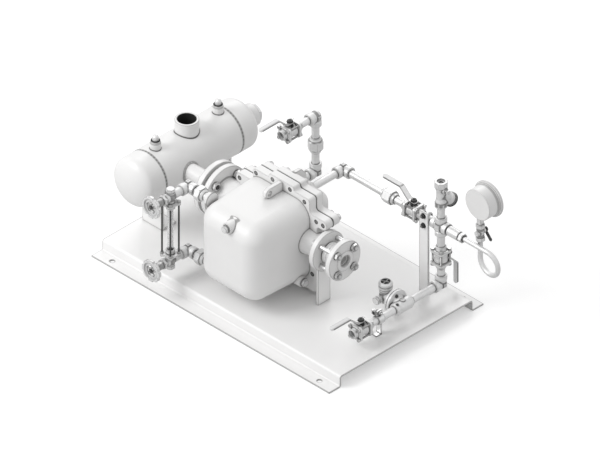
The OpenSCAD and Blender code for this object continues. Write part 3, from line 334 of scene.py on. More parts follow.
# %% Every solid gets its finish
finishes = {
    plate_paint: "base_plate pump_legs receiver_brackets pipe_post",
    vessel_paint: "receiver_shell gauge_case",
    casting_paint: "pump_body pump_cover outlet_flange",
    fitting_steel: "pipe_elbows pipe_unions steam_cross steam_strainer trap_connector trap_body"
                   " glass_cocks glass_connections gland_nuts gauge_cock siphon_tube"
                   " *_valve_body *_handwheel outlet_check_body",
    pipe_steel: "pipe_lengths",
    zinc: "plugs cover_bolts flange_bolts valve_bolts pipe_clamps guard_rods strainer_cap"
          " trap_cap float_ball inlet_check_flap outlet_check_disc push_rod *_valve_ball",
    lever_zinc: "*_valve_lever gauge_cock_lever",
    spring_steel: "trip_spring mechanism_frame float_lever snap_arm",
    black_rubber: "gaskets inlet_check_ring",
    dial_lacquer: "gauge_dial",
    pointer_black: "gauge_pointer",
    gauge_glass: "glass_tube gauge_lens",
}
dressed = set()
for look, patterns in finishes.items():
    for name in (n for pattern in patterns.split() for n in fnmatch.filter(nodes, pattern)):
        nodes[name].data.materials.clear()
        nodes[name].data.materials.append(look)
        dressed.add(name)
print("without a finish:", sorted(set(nodes) - dressed))

# %% [markdown]
# ## Surfaces from profiles
# Nearly every piece here is turned, extruded or bent from bar. Primitives joined by booleans
# would do, but a profile keeps its fillets exact. So each helper takes a profile in millimetres,
# lays it out on a grid of points with numpy, and hands back corners and faces.

# %% Profiles
def filleted(corners, radius=0.0, steps=4, closed=True):
    """Rounds a polygon's corners. A corner's third value is a radius of its own.
    At a corner with edge directions a and b and half angle h between them, the arc starts
    radius / tan(h) along each edge and its centre lies radius / sin(h) away on their bisector.
    The start is limited to just under half of the shorter edge."""
    p = np.array([c[:2] for c in corners], float)
    radii = [float(c[2]) if len(c) > 2 else radius for c in corners]
    made = []
    for i in range(len(p)):
        if radii[i] <= 0 or (not closed and i in (0, len(p) - 1)):
            made.append(p[i:i + 1])
            continue
        before, after = p[i - 1] - p[i], p[(i + 1) % len(p)] - p[i]
        lb, la = np.linalg.norm(before), np.linalg.norm(after)
        a, b = before / lb, after / la
        half = math.acos(np.clip(a @ b, -1, 1)) / 2
        if half > math.pi / 2 - 0.01 or half < 0.01:
            made.append(p[i:i + 1])
            continue
        start = min(radii[i] / math.tan(half), 0.49 * min(lb, la))
        r = start * math.tan(half)
        middle = p[i] + (a + b) / np.linalg.norm(a + b) * r / math.sin(half)
        u, v = p[i] + a * start - middle, p[i] + b * start - middle
        turn = math.acos(np.clip(u @ v / (r * r), -1, 1))
        t = np.linspace(0, 1, steps + 1)[:, None]
        made.append(middle + (np.sin((1 - t) * turn) * u + np.sin(t * turn) * v) / math.sin(turn))
    return np.concatenate(made)


def oblong(w, h, r, steps=3):
    """A rectangle's outline about the origin with its corners rounded."""
    return filleted([(-w / 2, -h / 2), (w / 2, -h / 2), (w / 2, h / 2), (-w / 2, h / 2)], r, steps)


def angles(n):
    """A full turn in n equal steps."""
    return np.linspace(0, 2 * math.pi, n, endpoint=False)


def ring(r, z, n):
    """n points round Z at radius r and height z. Either may change with the angle."""
    a = angles(n)
    return np.column_stack([r * np.cos(a), r * np.sin(a), np.broadcast_to(z, n)])


def saw(n, crest, root):
    """n radii that go to and fro between a thread's crest and its root."""
    return np.where(np.arange(n) % 2 == 0, crest, root)


def ring_ids(rows, columns):
    """Quads that join row after row of a closed ring grid, as an array of corner numbers."""
    ids = np.arange(rows * columns).reshape(rows, columns)
    nxt = np.roll(ids, -1, axis=1)
    return np.stack([ids[:-1], nxt[:-1], nxt[1:], ids[1:]], axis=-1).reshape(-1, 4)


def lofted(rings, loop=False, caps=True):
    """Skins rings[k, n, 3]: each ring joins the next, a loop joins the last to the first, and
    otherwise one face closes each end."""
    rings = np.asarray(rings, float)
    rows, columns = rings.shape[:2]
    faces = ring_ids(rows, columns).tolist()
    if loop:
        last = (rows - 1) * columns
        i = np.arange(columns)
        j = (i + 1) % columns
        faces += np.stack([last + i, last + j, j, i], axis=-1).tolist()
    elif caps:
        faces.append(list(range(columns))[::-1])
        faces.append(list(range((rows - 1) * columns, rows * columns)))
    return rings.reshape(-1, 3), faces


def turned(profile, n=48):
    """A body of revolution about Z from (radius, height) pairs. A profile that starts and ends
    on the axis closes there, any other is taken as a closed loop, such as a ring's section."""
    p = np.asarray(profile, float)
    on_axis = p[0, 0] == 0 and p[-1, 0] == 0
    return lofted([ring(r, z, n) for r, z in p], loop=not on_axis, caps=False)


def lathe(corners, n=48, steps=3, radius=0.0):
    """A turned part from a profile with rounded corners: open between two points on the axis, or
    a ring's closed section."""
    return turned(filleted(corners, radius, steps, corners[0][0] > 0), n)


def rod(r, low, high, edge=0.5, n=40):
    """A round bar from low to high along Z with its two rims rounded."""
    return lathe([(0, low), (r, low), (r, high), (0, high)], n, 4, edge)


def collar(bore, r, low, high, edge=0.5, n=40):
    """A ring from low to high with rounded rims."""
    return lathe([(bore, low), (r, low), (r, high), (bore, high)], n, 4, edge)


def polygon_side(sides, af, n):
    """The radius at each of n angles of a regular polygon, af wide across its flats."""
    part = math.pi / sides
    return (af / 2) / np.cos((angles(n) + part) % (2 * part) - part)


def hexagon(af, low, high, chamfer=30.0, washer=0.0, n=48):
    """A bolt head or nut: a hexagon cut by a cone at both ends. The cone passes the flats' circle
    at the end and falls by the chamfer angle, so each corner starts its slope lower than a flat."""
    side, flat = polygon_side(6, af, n), af / 2 * 0.97
    drop = (side - flat) * math.tan(math.radians(chamfer))
    rows = [(0, low), (flat, low + washer), (side, low + drop + washer),
            (side, high - drop), (flat, high), (0, high)]
    return lofted([ring(r, z, n) for r, z in rows], caps=False)


def threaded(r, low, high, pitch, n=32):
    """A bolt's end: a rod whose radius swings by half a pitch in a saw tooth for each pitch."""
    count = max(int((high - low) / pitch), 1)
    z = np.linspace(low, high, 2 * count + 1)
    radius = saw(len(z), r, r - 0.45 * pitch)
    radius[-1] = r - 0.8
    return turned([(0, low), *zip(radius, z), (0, high)], n)


def plate_from(outline, low, high, edge=0.8, steps=2):
    """An outline in X and Y made into a plate along Z. Near each face the outline moves inwards
    along its own normals by 1 - cos, so that the edge is a quarter round."""
    p = np.asarray(outline, float)
    area = np.sum(p[:, 0] * np.roll(p[:, 1], -1) - np.roll(p[:, 0], -1) * p[:, 1])
    if area < 0:
        p = p[::-1]
    along = np.roll(p, -1, axis=0) - np.roll(p, 1, axis=0)
    along /= np.linalg.norm(along, axis=1)[:, None]
    out = np.stack([along[:, 1], -along[:, 0]], axis=-1)
    t = np.linspace(0, math.pi / 2, steps + 1)
    inset = edge * np.concatenate([1 - np.sin(t), (1 - np.sin(t))[::-1]])
    height = np.concatenate([low + edge * (1 - np.cos(t)), high - edge * (1 - np.cos(t))[::-1]])
    return lofted([np.column_stack([p - out * i, np.full(len(p), z)])
                   for i, z in zip(inset, height)])


def holed(outline, middle, r, low, high, edge, n=72):
    """A convex outline made into a plate with a round hole. Along the ray at each angle the edge
    lies at the least of (corner . normal) / (ray . normal) over the edges that face the ray."""
    p = np.asarray(outline, float) - middle
    along = np.roll(p, -1, axis=0) - p
    normal = np.stack([along[:, 1], -along[:, 0]], axis=-1)
    ray = ring(1, 0, n)[:, :2]
    facing = ray @ normal.T
    share = np.where(facing > 1e-9, np.sum(p * normal, axis=1) / np.maximum(facing, 1e-9), np.inf)
    reach = share.min(axis=1)
    rows = [(r, low + 0.5), (r + 0.5, low), (reach - edge, low),
            (reach - edge * 0.3, low + edge * 0.3), (reach, low + edge), (reach, high - edge),
            (reach - edge * 0.3, high - edge * 0.3), (reach - edge, high),
            (r + 0.5, high), (r, high - 0.5)]
    return lofted([ring(d, z, n) + (*middle, 0) for d, z in rows], loop=True)


def swept(path, radius, start, n=16):
    """A round bar along a path. Each ring stands across the path's direction, and its first axis
    is start with the part along the direction taken out."""
    p = np.asarray(path, float)
    d = np.gradient(p, axis=0)
    d /= np.linalg.norm(d, axis=1)[:, None]
    u = np.asarray(start, float) - d * (d @ np.asarray(start, float))[:, None]
    u /= np.linalg.norm(u, axis=1)[:, None]
    v = np.cross(d, u)
    r = np.broadcast_to(np.asarray(radius, float), (len(p),))[:, None, None]
    a = angles(n)[None, :, None]
    return lofted(p[:, None] + r * (np.cos(a) * u[:, None] + np.sin(a) * v[:, None]))


def box_of(low, high, edge=0.6):
    """A block between two corners with its upright edges and rims rounded."""
    (x0, y0, z0), (x1, y1, z1) = low, high
    return plate_from(filleted([(x0, y0), (x1, y0), (x1, y1), (x0, y1)], edge, 3), z0, z1, edge)


print("profile helpers ready")

# %% Placing and joining
DIAGONAL = math.sqrt(0.5)
TURNS = {
    "z": np.eye(3),
    "-z": np.array([[1, 0, 0], [0, -1, 0], [0, 0, -1]]),
    "x": np.array([[0, 0, 1], [0, 1, 0], [-1, 0, 0]]),
    "-x": np.array([[0, 0, -1], [0, 1, 0], [1, 0, 0]]),
    "y": np.array([[1, 0, 0], [0, 0, 1], [0, -1, 0]]),
    "-y": np.array([[1, 0, 0], [0, 0, -1], [0, 1, 0]]),
    "yz": np.array([[0, 0, 1], [1, 0, 0], [0, 1, 0]]),
}


def spin(degrees, axis=2):
    """The matrix of a turn about X, Y or Z."""
    c, s = math.cos(math.radians(degrees)), math.sin(math.radians(degrees))
    i, j = [(1, 2), (2, 0), (0, 1)][axis]
    made = np.eye(3)
    made[i, i], made[i, j], made[j, i], made[j, j] = c, -s, s, c
    return made


def put(part, place=(0, 0, 0), way="z"):
    """A part moved: its Z axis laid along way, or turned by a matrix, then shifted. The way "yz"
    stands an outline up in the plane of Y and Z."""
    points, faces = part
    matrix = TURNS[way] if isinstance(way, str) else way
    return points @ matrix.T + np.asarray(place, float), faces


def moved(parts, place=(0, 0, 0), way="z"):
    """Several parts moved together."""
    return [put(part, place, way) for part in parts]


def mirrored(part):
    """A part's mirror image upside down, with its faces turned back outwards."""
    points, faces = part
    return points * (1, 1, -1), [f[::-1] for f in faces]


def piece(name, groups, node, sharp=38.0):
    """One object from {material: [parts]} in millimetres: doubles merged, faces turned outwards,
    and every edge steeper than sharp degrees kept crisp. It stands in for the solid of a node and
    rides on that node's body."""
    points, faces, looks = [], [], []
    count = 0
    for index, parts in enumerate(groups.values()):
        for corners, shape in parts:
            points.append(corners * MM)
            faces += [[i + count for i in f] for f in shape]
            looks += [index] * len(shape)
            count += len(corners)
    mesh = bpy.data.meshes.new(name)
    mesh.from_pydata(np.concatenate(points).tolist(), [], faces)
    mesh.polygons.foreach_set("material_index", looks)
    for look in groups:
        mesh.materials.append(look)
    work = bmesh.new()
    work.from_mesh(mesh)
    bmesh.ops.remove_doubles(work, verts=work.verts, dist=2e-6)
    bmesh.ops.dissolve_degenerate(work, edges=work.edges, dist=1e-7)
    bmesh.ops.recalc_face_normals(work, faces=work.faces)
    work.to_mesh(mesh)
    work.free()
    mesh.polygons.foreach_set("use_smooth", [True] * len(mesh.polygons))
    mesh.set_sharp_from_angle(angle=math.radians(sharp))
    made = in_scene(name, mesh)
    made.modifiers.new("flat faces stay flat", "WEIGHTED_NORMAL").keep_sharp = True
    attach(made, nodes[node]["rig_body"])
    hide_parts(node)
    print(name, len(mesh.polygons), "faces")


print("placing helpers ready")

# %% [markdown]
# ## The pump body
# The body is one iron casting: a drafted box with big round corners, a stepped flange with ears,
# two flanged necks and small screwed bosses. A bevelled cube would give even corners, but the
# real one swells from its flat front in a ball-like corner. So its sections are rounded
# rectangles, and the front ones shrink as a sphere's sections do.

# %% Sizes of the pump, in millimetres
PORT_Y, PORT_Z = -35.5, 204.0
PUMP_X, JOINT_Y = 10.5, -33.5
BODY_X, BODY_Z, BODY_W, BODY_H, BODY_L, BODY_R, DRAFT = 3.0, 190.0, 225.0, 245.0, 198.0, 50.0, 4.0
FLANGE_T, GASKET_T, COVER_T = 25.0, 2.0, 23.0
COVER_Y = JOINT_Y + FLANGE_T + GASKET_T
COVER_END = COVER_Y + COVER_T
COVER_BACK = COVER_END + 50.0
OUTLET_X, INLET_X, NOZZLE_X, PIPE_FLANGE_T = 170.5, -210.0, -234.0, 18.0
FRONT_Y = JOINT_Y - BODY_L
GLASS_X, GLASS_Y, ARM_Y, LOW_Z, HIGH_Z = -186.5, -243.5, -178.5, 95.0, 297.0
drain_at = np.array((BODY_X + BODY_W / 2 - 34, JOINT_Y - 30, BODY_Z - BODY_H / 2 + 21))
front_at = np.array((PUMP_X, FRONT_Y, BODY_Z + 97.5))


def rounded_rectangle(hw, hh, r, n=12):
    """A rectangle's outline with quarter-circle corners of radius r, n points to a corner, as
    pairs across and up."""
    a = np.linspace(0, math.pi / 2, n)
    made = []
    for k, (sx, sz) in enumerate(((1, 1), (-1, 1), (-1, -1), (1, -1))):
        t = a + k * math.pi / 2
        made.append(np.column_stack([sx * (hw - r) + r * np.cos(t), sz * (hh - r) + r * np.sin(t)]))
    return np.concatenate(made)


def ball_box(hw, hh, r, draft, back_y, front_y, rows=14):
    """A drafted box whose front is rounded like a ball. Behind the corner's centre the half sizes
    grow evenly by draft. In front of it a section at distance d from the centre shrinks by
    r - sqrt(r * r - d * d), and so does its corner radius."""
    way = 1.0 if back_y > front_y else -1.0
    knee = front_y + way * r
    sections = [(draft * t, r, back_y + (knee - back_y) * t) for t in np.linspace(0, 1, 5)]
    for angle in np.linspace(0, math.pi / 2, rows)[1:]:
        s = r * (1 - math.cos(angle))
        sections.append((draft + s, max(r - s, 0.01), knee - way * r * math.sin(angle)))
    rings = []
    for less, corner, y in sections:
        o = rounded_rectangle(hw - less, hh - less, corner)
        rings.append(np.column_stack([o[:, 0], np.full(len(o), y), o[:, 1]]))
    return lofted([points + (BODY_X, 0, BODY_Z) for points in rings])


def flange_outline():
    """The stepped outline of body flange and cover, seen from the front: three steps of half
    width 46, 104 and 166 from the top down, ears, and the plain lower part."""
    return filleted([(46, 342, 9), (46, 330, 5), (104, 330, 9), (104, 288, 9), (166, 288, 13),
                     (166, 258, 13), (131, 258, 9), (131, 46, 14), (-149, 46, 14), (-149, 258, 9),
                     (-166, 258, 13), (-166, 288, 13), (-104, 288, 9), (-104, 330, 9),
                     (-46, 330, 5), (-46, 342, 9)], steps=5)


def upright_plate(y0, y1):
    """The flange's outline as a plate across Y."""
    flipped = (flange_outline() + (PUMP_X, 0)) * (1, -1)
    return put(plate_from(flipped, y0, y1, 1.8, 3), way="y")


def neck(way, x0, x1, r0, r1, flare, bore):
    """A turned neck from the body to a flange, with a wide fillet where it meets either, and bored
    from its flange end so that the check valve has room."""
    length = abs(x1 - x0)
    t = np.linspace(0, math.pi / 2, 7)
    root = [(r0 + flare * (1 - math.sin(a)), flare * (1 - math.cos(a))) for a in t]
    tip = [(r1 + 5 * (1 - math.cos(a)), length - 5 + 5 * math.sin(a)) for a in t]
    profile = [(0, 0), *root, *tip, (bore, length), (bore, length - 45), (0, length - 45)]
    return put(turned(profile), (x0, PORT_Y, PORT_Z), way)


def pipe_flange(x, way, r, bore, raised_r):
    """A round flange on the port axis with its bore, rounded rims and a raised face 2 mm high."""
    t = PIPE_FLANGE_T
    section = [(bore, 0), (r, 0), (r, t - 2), (raised_r, t - 2), (raised_r, t), (bore, t)]
    return put(lathe(section, 64, radius=1.2), (x, PORT_Y, PORT_Z), way)


print("body", BODY_W, "x", BODY_L, "x", BODY_H)

# %% The body casting
body_parts = [
    ball_box(BODY_W / 2, BODY_H / 2, BODY_R, DRAFT, JOINT_Y + 2, FRONT_Y),
    upright_plate(JOINT_Y, JOINT_Y + FLANGE_T),
    neck("x", 100, OUTLET_X, 39, 29, 6, 14),
    neck("-x", -95, INLET_X + PIPE_FLANGE_T, 41, 41, 6, 21),
    pipe_flange(OUTLET_X, "x", 57.5, 14, 32),
    pipe_flange(INLET_X + PIPE_FLANGE_T, "-x", 75, 21, 45),
]
boss = lathe([(0, 0), (24, 0, 1), (17, 6, 8), (16, 18, 2), (0, 18)], steps=5)
for z in (LOW_Z, HIGH_Z):
    body_parts.append(put(boss, (BODY_X - BODY_W / 2 + 12, ARM_Y, z), "-x"))
drain_boss = lathe([(0, 0), (23, 0, 1), (15, 9, 8), (15, 42, 2), (0, 42)], steps=5)
front_boss = lathe([(0, 0), (23, 0, 1), (16.5, 8, 6), (16.5, 34, 2.5), (0, 34)], steps=5)
lug = filleted([(0, 0, 2), (47, 0, 12), (62, 6, 12), (62, 24, 12), (47, 30, 12), (0, 30, 2)],
               steps=4)
lug_way = np.array([[0, 0, 1], [-1, 0, 0], [0, 1, 0]])
body_parts += [put(drain_boss, drain_at - (2, 0, 0), "x"),
               put(front_boss, front_at + (0, 32, 0), "-y"),
               put(holed(lug, (47, 15), 6.5, 0, 13, 1.5), (PUMP_X - 7, JOINT_Y, 310), lug_way)]
piece("pump_body_casting", {casting_paint: body_parts}, "pump_body")

# %% [markdown]
# ## The receiver
# The vessel is a rolled shell with two dished ends. A lathe profile alone would close the top
# socket's mouth, so the shell is laid out as a grid of small faces, and those inside the
# socket's wall are left out. The jagged edge that this leaves is hidden in the wall.

# %% Helpers for welded vessels
SHELL_X, SHELL_Y, SHELL_R, SEAM, SKIRT, DISH = -390.5, 17.5, 71.5, 141.0, 45.0, 34.0
FILL_Y, VENT_Y, MOUTH_R, FILL_TOP, VENT_TOP = 3.0, 115.0, 29.0, SHELL_R + 35, SHELL_R + 18


def vessel_skin(r, dish, n=96):
    """A vessel's skin about Y. Each end is a quarter ellipse of depth dish. Faces whose middle
    lies within the fill socket's mouth are left out."""
    t = np.linspace(0, math.pi / 2, 11)[:-1]
    straight = np.linspace(-SEAM - SKIRT, SEAM + SKIRT, 77)
    end = SEAM + SKIRT + dish * np.cos(t)
    y = np.concatenate([-end, straight, end[::-1]])
    radius = r * np.concatenate([np.sin(t), np.ones(len(straight)), np.sin(t)[::-1]])
    points = np.concatenate([ring(s, h, n)[:, [1, 2, 0]] for s, h in zip(radius, y)])
    faces = ring_ids(len(y), n)
    middle = points[faces].mean(axis=1)
    inside = (np.hypot(middle[:, 0], middle[:, 1] - FILL_Y) < MOUTH_R) & (middle[:, 2] > 0)
    return points, faces[~inside].tolist()


def bead(path, r=2.4, ripple=0.3, pitch=2.2):
    """A weld bead along a closed path: a round bar whose radius swells once for each pitch."""
    p = np.concatenate([path, path[:2]])
    length = np.concatenate([[0], np.cumsum(np.linalg.norm(np.diff(p, axis=0), axis=1))])
    return swept(p, r + ripple * np.cos(2 * math.pi * length / pitch), (0.31, 0.2, 0.93), 8)


def saddle(s, r, n=160):
    """The curve where an upright pipe of radius s meets a lying shell of radius r: at each angle
    the height is sqrt(r * r - x * x)."""
    curve = ring(s, 0.0, n)
    curve[:, 2] = np.sqrt(r * r - curve[:, 0] * curve[:, 0])
    return curve


print("vessel", 2 * (SEAM + SKIRT + DISH), "mm long,", 2 * SHELL_R, "mm across")

# %% The receiver with its sockets and flange
shell_at = np.array([SHELL_X, SHELL_Y, PORT_Z])
fill_at = shell_at + (0, FILL_Y, 0)
vents_at = [fill_at - (0, VENT_Y, 0), fill_at + (0, VENT_Y, 0)]
skin_r = SHELL_R - 0.5
end_y = SEAM + SKIRT + DISH + 25
on_dish = SEAM + SKIRT + DISH * math.sqrt(1 - (32 / SHELL_R) ** 2)
shell_parts = [put(vessel_skin(skin_r, DISH), shell_at),
               put(collar(25.75, 32.5, 55, FILL_TOP, 1.2, 72), fill_at),
               *(put(rod(14.8, 60, VENT_TOP, 0.8), at) for at in vents_at),
               put(collar(16.8, 32, end_y - 40, end_y, 1.5, 64), shell_at, "y"),
               neck("x", SHELL_X + 60, NOZZLE_X, 24.15, 24.15, 7, 19),
               put(bead(saddle(25, skin_r)[:, [2, 1, 0]], 3.2), (SHELL_X, PORT_Y, PORT_Z)),
               pipe_flange(NOZZLE_X, "x", 75, 21, 45)]
weld_parts = [*(put(bead(ring(SHELL_R - 2.7, 0, 240)), shell_at + (0, y, 0), "y")
                for y in (-SEAM, SEAM)),
              put(bead(saddle(32.0, skin_r), 1.9), fill_at),
              *(put(bead(saddle(14.4, skin_r, 90), 1.5, 0.2), at) for at in vents_at),
              put(bead(ring(32, 0, 240)), shell_at + (0, on_dish, 0), "y")]
# Painted shade: the fill socket's bore and a skin just inside the shell are black, standing for the
# shade inside the vessel.
socket_bore = turned([(25.7, 55), (25.9, 55), (25.9, FILL_TOP - 1), (25.7, FILL_TOP - 1)], 72)
inner_shade_parts = [put(vessel_skin(SHELL_R - 5, DISH - 5), shell_at), put(socket_bore, fill_at)]
piece("receiver_vessel", {vessel_paint: shell_parts, weld_steel: weld_parts,
                          painted_shade_black: inner_shade_parts}, "receiver_shell", sharp=32.0)

# %% [markdown]
# ## Plugs and pipe threads
# A screwed plug shows a few turns of thread under its head. One helper turns a saw tooth for the
# thread, another cuts the head, and each plug stands on the axis of the hole that it closes.

# %% Plugs
def hex_plug(r, af, head, shank):
    """A plug with a threaded shank below zero, a thin collar and a chamfered hexagon."""
    return [threaded(r, -shank, 0, 1.8), rod(r + 2, 0, 2, 0.4), hexagon(af, 2, 2 + head)]


def square_plug(r, width, height):
    """A plug with a round collar and a square head with cut corners."""
    return [rod(r, 0, 3, 0.5), plate_from(oblong(width, width, 1.6, 2), 3, 3 + height, 1.2)]


dome = [(0, -12), (12.6, -12), (12.6, 5.4), (11.8, 6.4), (10.2, 6.4), (9.8, 5.2), (9.0, 5.2),
        (9.0, 13.4)]
dome += [(9.0 * math.cos(a), 13.4 + 9.6 * math.sin(a)) for a in np.linspace(0.17, 1.4, 8)]
# Painted shade: a black ring fills the groove under each vent plug's dome.
groove_shade_ring = turned([(9.1, 5.3), (11.9, 5.3), (12.7, 6.2), (11.9, 7.2), (9.1, 6.9)], 40)
tops = [at + (0, 0, VENT_TOP) for at in vents_at]
plug_parts = [put(turned([*dome, (0, 23)], 40), at) for at in tops]
plug_parts += moved(hex_plug(16.7, 44, 11, 14), shell_at + (0, end_y, 0), "y")
plug_parts += moved(hex_plug(10.4, 17, 9, 12), front_at - (0, 2, 0), "-y")
plug_parts += moved(hex_plug(10.4, 19, 9, 12), drain_at + (40, 0, 0), "x")
piece("screwed_plugs", {fitting_steel: plug_parts, painted_shade_black: [put(groove_shade_ring, at) for at in tops]},
      "plugs")

# %% [markdown]
# ## The pump's cover and its bolts
# The cover repeats the flange's outline and has a ball-cornered box behind it. The bolts' heads lie
# behind the cover. Their ends show in front as small discs in a ring of painted shade, where the
# holes are.

# %% Cover and cover bolts
EXHAUST_X, TOP_Z = -34.5, 263.0
port = lathe([(0, 0), (21, 0), (18, 8, 6), (18, 38, 1.5), (10.75, 38, 0.5), (10.75, 30), (0, 30)])
rib = filleted([(0, 0, 1), (46, 0, 4), (40, 37, 8), (24, 57, 8), (0, 57, 1)], steps=3)
cover_parts = [upright_plate(COVER_Y, COVER_END),
               ball_box(BODY_W / 2 - 8, BODY_H / 2 - 6, 34, DRAFT, COVER_Y + 6, COVER_BACK),
               *(put(port, (x, COVER_BACK - 26, TOP_Z), "y") for x in (PUMP_X, EXHAUST_X)),
               put(plate_from(rib, 0, 12, 1.5), (PUMP_X - 7, COVER_END - 3, 287), "yz")]
piece("pump_cover_casting", {casting_paint: cover_parts}, "pump_cover")

COVER_BOLTS = [(32, 328), (85, 315), (128, 273), (153, 273), (117, 145), (114, 100), (78, 58),
               (26, 58), (-32, 328), (-93, 318), (-153, 273), (-135, 145), (-131, 100), (-90, 58),
               (-32, 58)]
grip = COVER_END - JOINT_Y
bolt = [rod(4.8, -0.5, 4, 0.8, 28), rod(9.5, grip, grip + 1.6, 0.4),
        hexagon(16, grip + 1.6, grip + 9.6)]
# Painted shade: a black disc round each bolt end stands for the shade in its hole.
bolt_steel, bolt_hole_shade = [], []
for x, z in COVER_BOLTS:
    bolt_steel += moved(bolt, (PUMP_X + x, JOINT_Y, z), "y")
    bolt_hole_shade.append(put(rod(6.6, -0.15, 2, 0.05, 28), (PUMP_X + x, JOINT_Y, z), "y"))
piece("cover_bolt_set", {zinc: bolt_steel, painted_shade_black: bolt_hole_shade}, "cover_bolts")

# %% [markdown]
# ## Flanges, check valve and long bolts
# A wafer check valve sits between the outlet flanges on four long bolts. Its graphite rings are the
# dark lines of the drawing.

# %% Outlet check valve, counterflange and flange bolts
WAFER_T, STUD_R = 42.0, 6.5
wafer_at = (OUTLET_X + PIPE_FLANGE_T, PORT_Y, PORT_Z)
wafer = lathe([(14, 1.2), (28, 1.2, 0.6), (31, 3.5, 1), (31, 16, 1), (29.5, 17.5, 0.4),
               (29.5, 23.5, 0.4), (31, 25, 1), (31, 38.5, 1), (28, 40.8, 0.6), (14, 40.8)], 56)
seals = [collar(15, 29.5, z, z + 1.2, 0.2) for z in (0, 40.8)]
piece("outlet_check_wafer", {fitting_steel: [put(wafer, wafer_at, "x")],
                             black_rubber: moved(seals, wafer_at, "x")},
      "outlet_check_body")
counter_at = (wafer_at[0] + WAFER_T, PORT_Y, PORT_Z)
socket_ring = lathe([(11, 3), (17.5, 3), (17.5, 14), (14.6, 14), (14.6, 9), (11, 9)], 56, 4, 0.6)
counter = [pipe_flange(counter_at[0], "x", 57.5, 17, 30),
           *moved([socket_ring, rod(11.4, 3, 5, 0.2)], counter_at, "x")]
piece("outlet_counterflange", {casting_paint: counter}, "outlet_flange")


def bolt_circle(parts, x, pcd):
    """Parts along X at four places, 45 degrees off the upright, on a circle of diameter pcd."""
    reach = pcd / 2 * DIAGONAL
    return [put(p, (x, PORT_Y + y, PORT_Z + z), "x")
            for y in (-reach, reach) for z in (-reach, reach) for p in parts]


def stud_bolt(head_af, grip, length):
    """A bolt with its head below zero, and a nut at grip with the thread standing through it."""
    steel = [hexagon(head_af, -9, 0, washer=0.6), rod(STUD_R, -0.5, grip, 0.3),
             rod(head_af / 2 + 1.5, grip - 2.0, grip, 0.3),
             hexagon(head_af, grip, grip + 10, washer=0.6)]
    return steel, [threaded(STUD_R, grip - 4, length, 1.75)]


steel, ends = stud_bolt(20, 76, 90)
flange_steel = bolt_circle(steel + ends, OUTLET_X, 85)
steel, ends = stud_bolt(22, 42, 54)
flange_steel += bolt_circle(steel, NOZZLE_X, 110)
piece("flange_bolt_set", {zinc: flange_steel, dark_steel: bolt_circle(ends, NOZZLE_X, 110)},
      "flange_bolts")

# %% [markdown]
# ## Steam pipe and screwed fittings
# Half inch pipe screws into forged fittings. Each fitting is made once about the origin and put
# where the CAD has it. A bent tube with a fillet would hide the fittings' bands, so every arm is a
# lathe profile with its band, and the arms meet in a ball.

# %% Pipe lengths with their threads
PIPE_R, REACH, VALVE_END, UNION_END, CONNECTOR_END = 10.65, 16.0, 22.0, 11.0, 19.5
EXHAUST_Y, EXHAUST_Z, EXHAUST_VALVE_Y, STEAM_Y, CROSS_X = 137.5, 438.0, 43.5, 194.5, 369.5
STEAM_VALVE_X, BLOWDOWN_Z, DRIP_Z, CONNECTOR_Y, DRAIN_Y = 270.0, 166.0, 80.0, 53.0, -99.5
UNION_Z, UNION_X, STRAINER_Z = (TOP_Z + EXHAUST_Z) / 2 - 1.5, 182.0, TOP_Z + 102


def pipe_run(length):
    """A pipe from 0 up to length, with a saw-tooth thread over the last 15 mm at each end."""
    z = np.arange(0, 15, 0.9)
    tooth = saw(len(z), PIPE_R, PIPE_R - 0.8)
    rows = [(0, 0), *zip(tooth, z), (PIPE_R, 15.5), (PIPE_R, length - 15.5),
            *zip(tooth[::-1], length - z[::-1]), (0, length)]
    return turned(rows, 36)


RUNS = [
    ("y", EXHAUST_X, COVER_BACK, TOP_Z, EXHAUST_Y - REACH),
    ("z", EXHAUST_X, EXHAUST_Y, TOP_Z + REACH, UNION_Z - UNION_END),
    ("z", EXHAUST_X, EXHAUST_Y, UNION_Z + UNION_END, EXHAUST_Z - REACH),
    ("y", EXHAUST_X, EXHAUST_VALVE_Y + VALVE_END, EXHAUST_Z, EXHAUST_Y - REACH),
    ("y", PUMP_X, COVER_BACK, TOP_Z, STEAM_Y - REACH),
    ("x", PUMP_X + REACH, STEAM_Y, TOP_Z, UNION_X - UNION_END),
    ("x", UNION_X + UNION_END, STEAM_Y, TOP_Z, STEAM_VALVE_X - VALVE_END),
    ("x", STEAM_VALVE_X + VALVE_END, STEAM_Y, TOP_Z, CROSS_X - REACH),
    ("z", CROSS_X, STEAM_Y, TOP_Z + REACH, STRAINER_Z - 28),
    ("z", CROSS_X, STEAM_Y, BLOWDOWN_Z + VALVE_END, TOP_Z - REACH),
    ("z", CROSS_X, STEAM_Y, DRIP_Z + REACH, BLOWDOWN_Z - VALVE_END),
    ("y", CROSS_X, CONNECTOR_Y + CONNECTOR_END, DRIP_Z, STEAM_Y - REACH),
    ("y", CROSS_X, DRAIN_Y + VALVE_END, DRIP_Z, CONNECTOR_Y - CONNECTOR_END),
]
pipes = [put(pipe_run(end - place["xyz".index(way)]), place, way) for way, *place, end in RUNS]
piece("steam_pipe_runs", {pipe_steel: pipes}, "pipe_lengths")

# %% Elbows, unions and the cross
ARM = lathe([(0, 0), (14.8, 0), (14.8, 13.2, 1.5), (16.5, 15.2, 1), (16.5, 28, 1.4),
             (10.9, 28, 0.6), (10.9, 24), (0, 24)], 44)


def ball(r, n=32):
    """A ball from a half circle turned about Z."""
    a = np.linspace(-math.pi / 2, math.pi / 2, n // 2 + 1)
    profile = np.column_stack([r * np.cos(a), r * np.sin(a)])
    profile[[0, -1], 0] = 0
    return turned(profile, n)


def pad(side, height, base):
    """A square pad with rounded edges on a fitting's flank, from base up to height along Z."""
    return plate_from(oblong(side, side, 1.6), base, height, 1.2)


def elbow(ways, back):
    """Two arms and a ball, with a pad on the side that faces back."""
    return [*(put(ARM, way=w) for w in ways), ball(15.3), put(pad(12, 17, 10), way=back)]


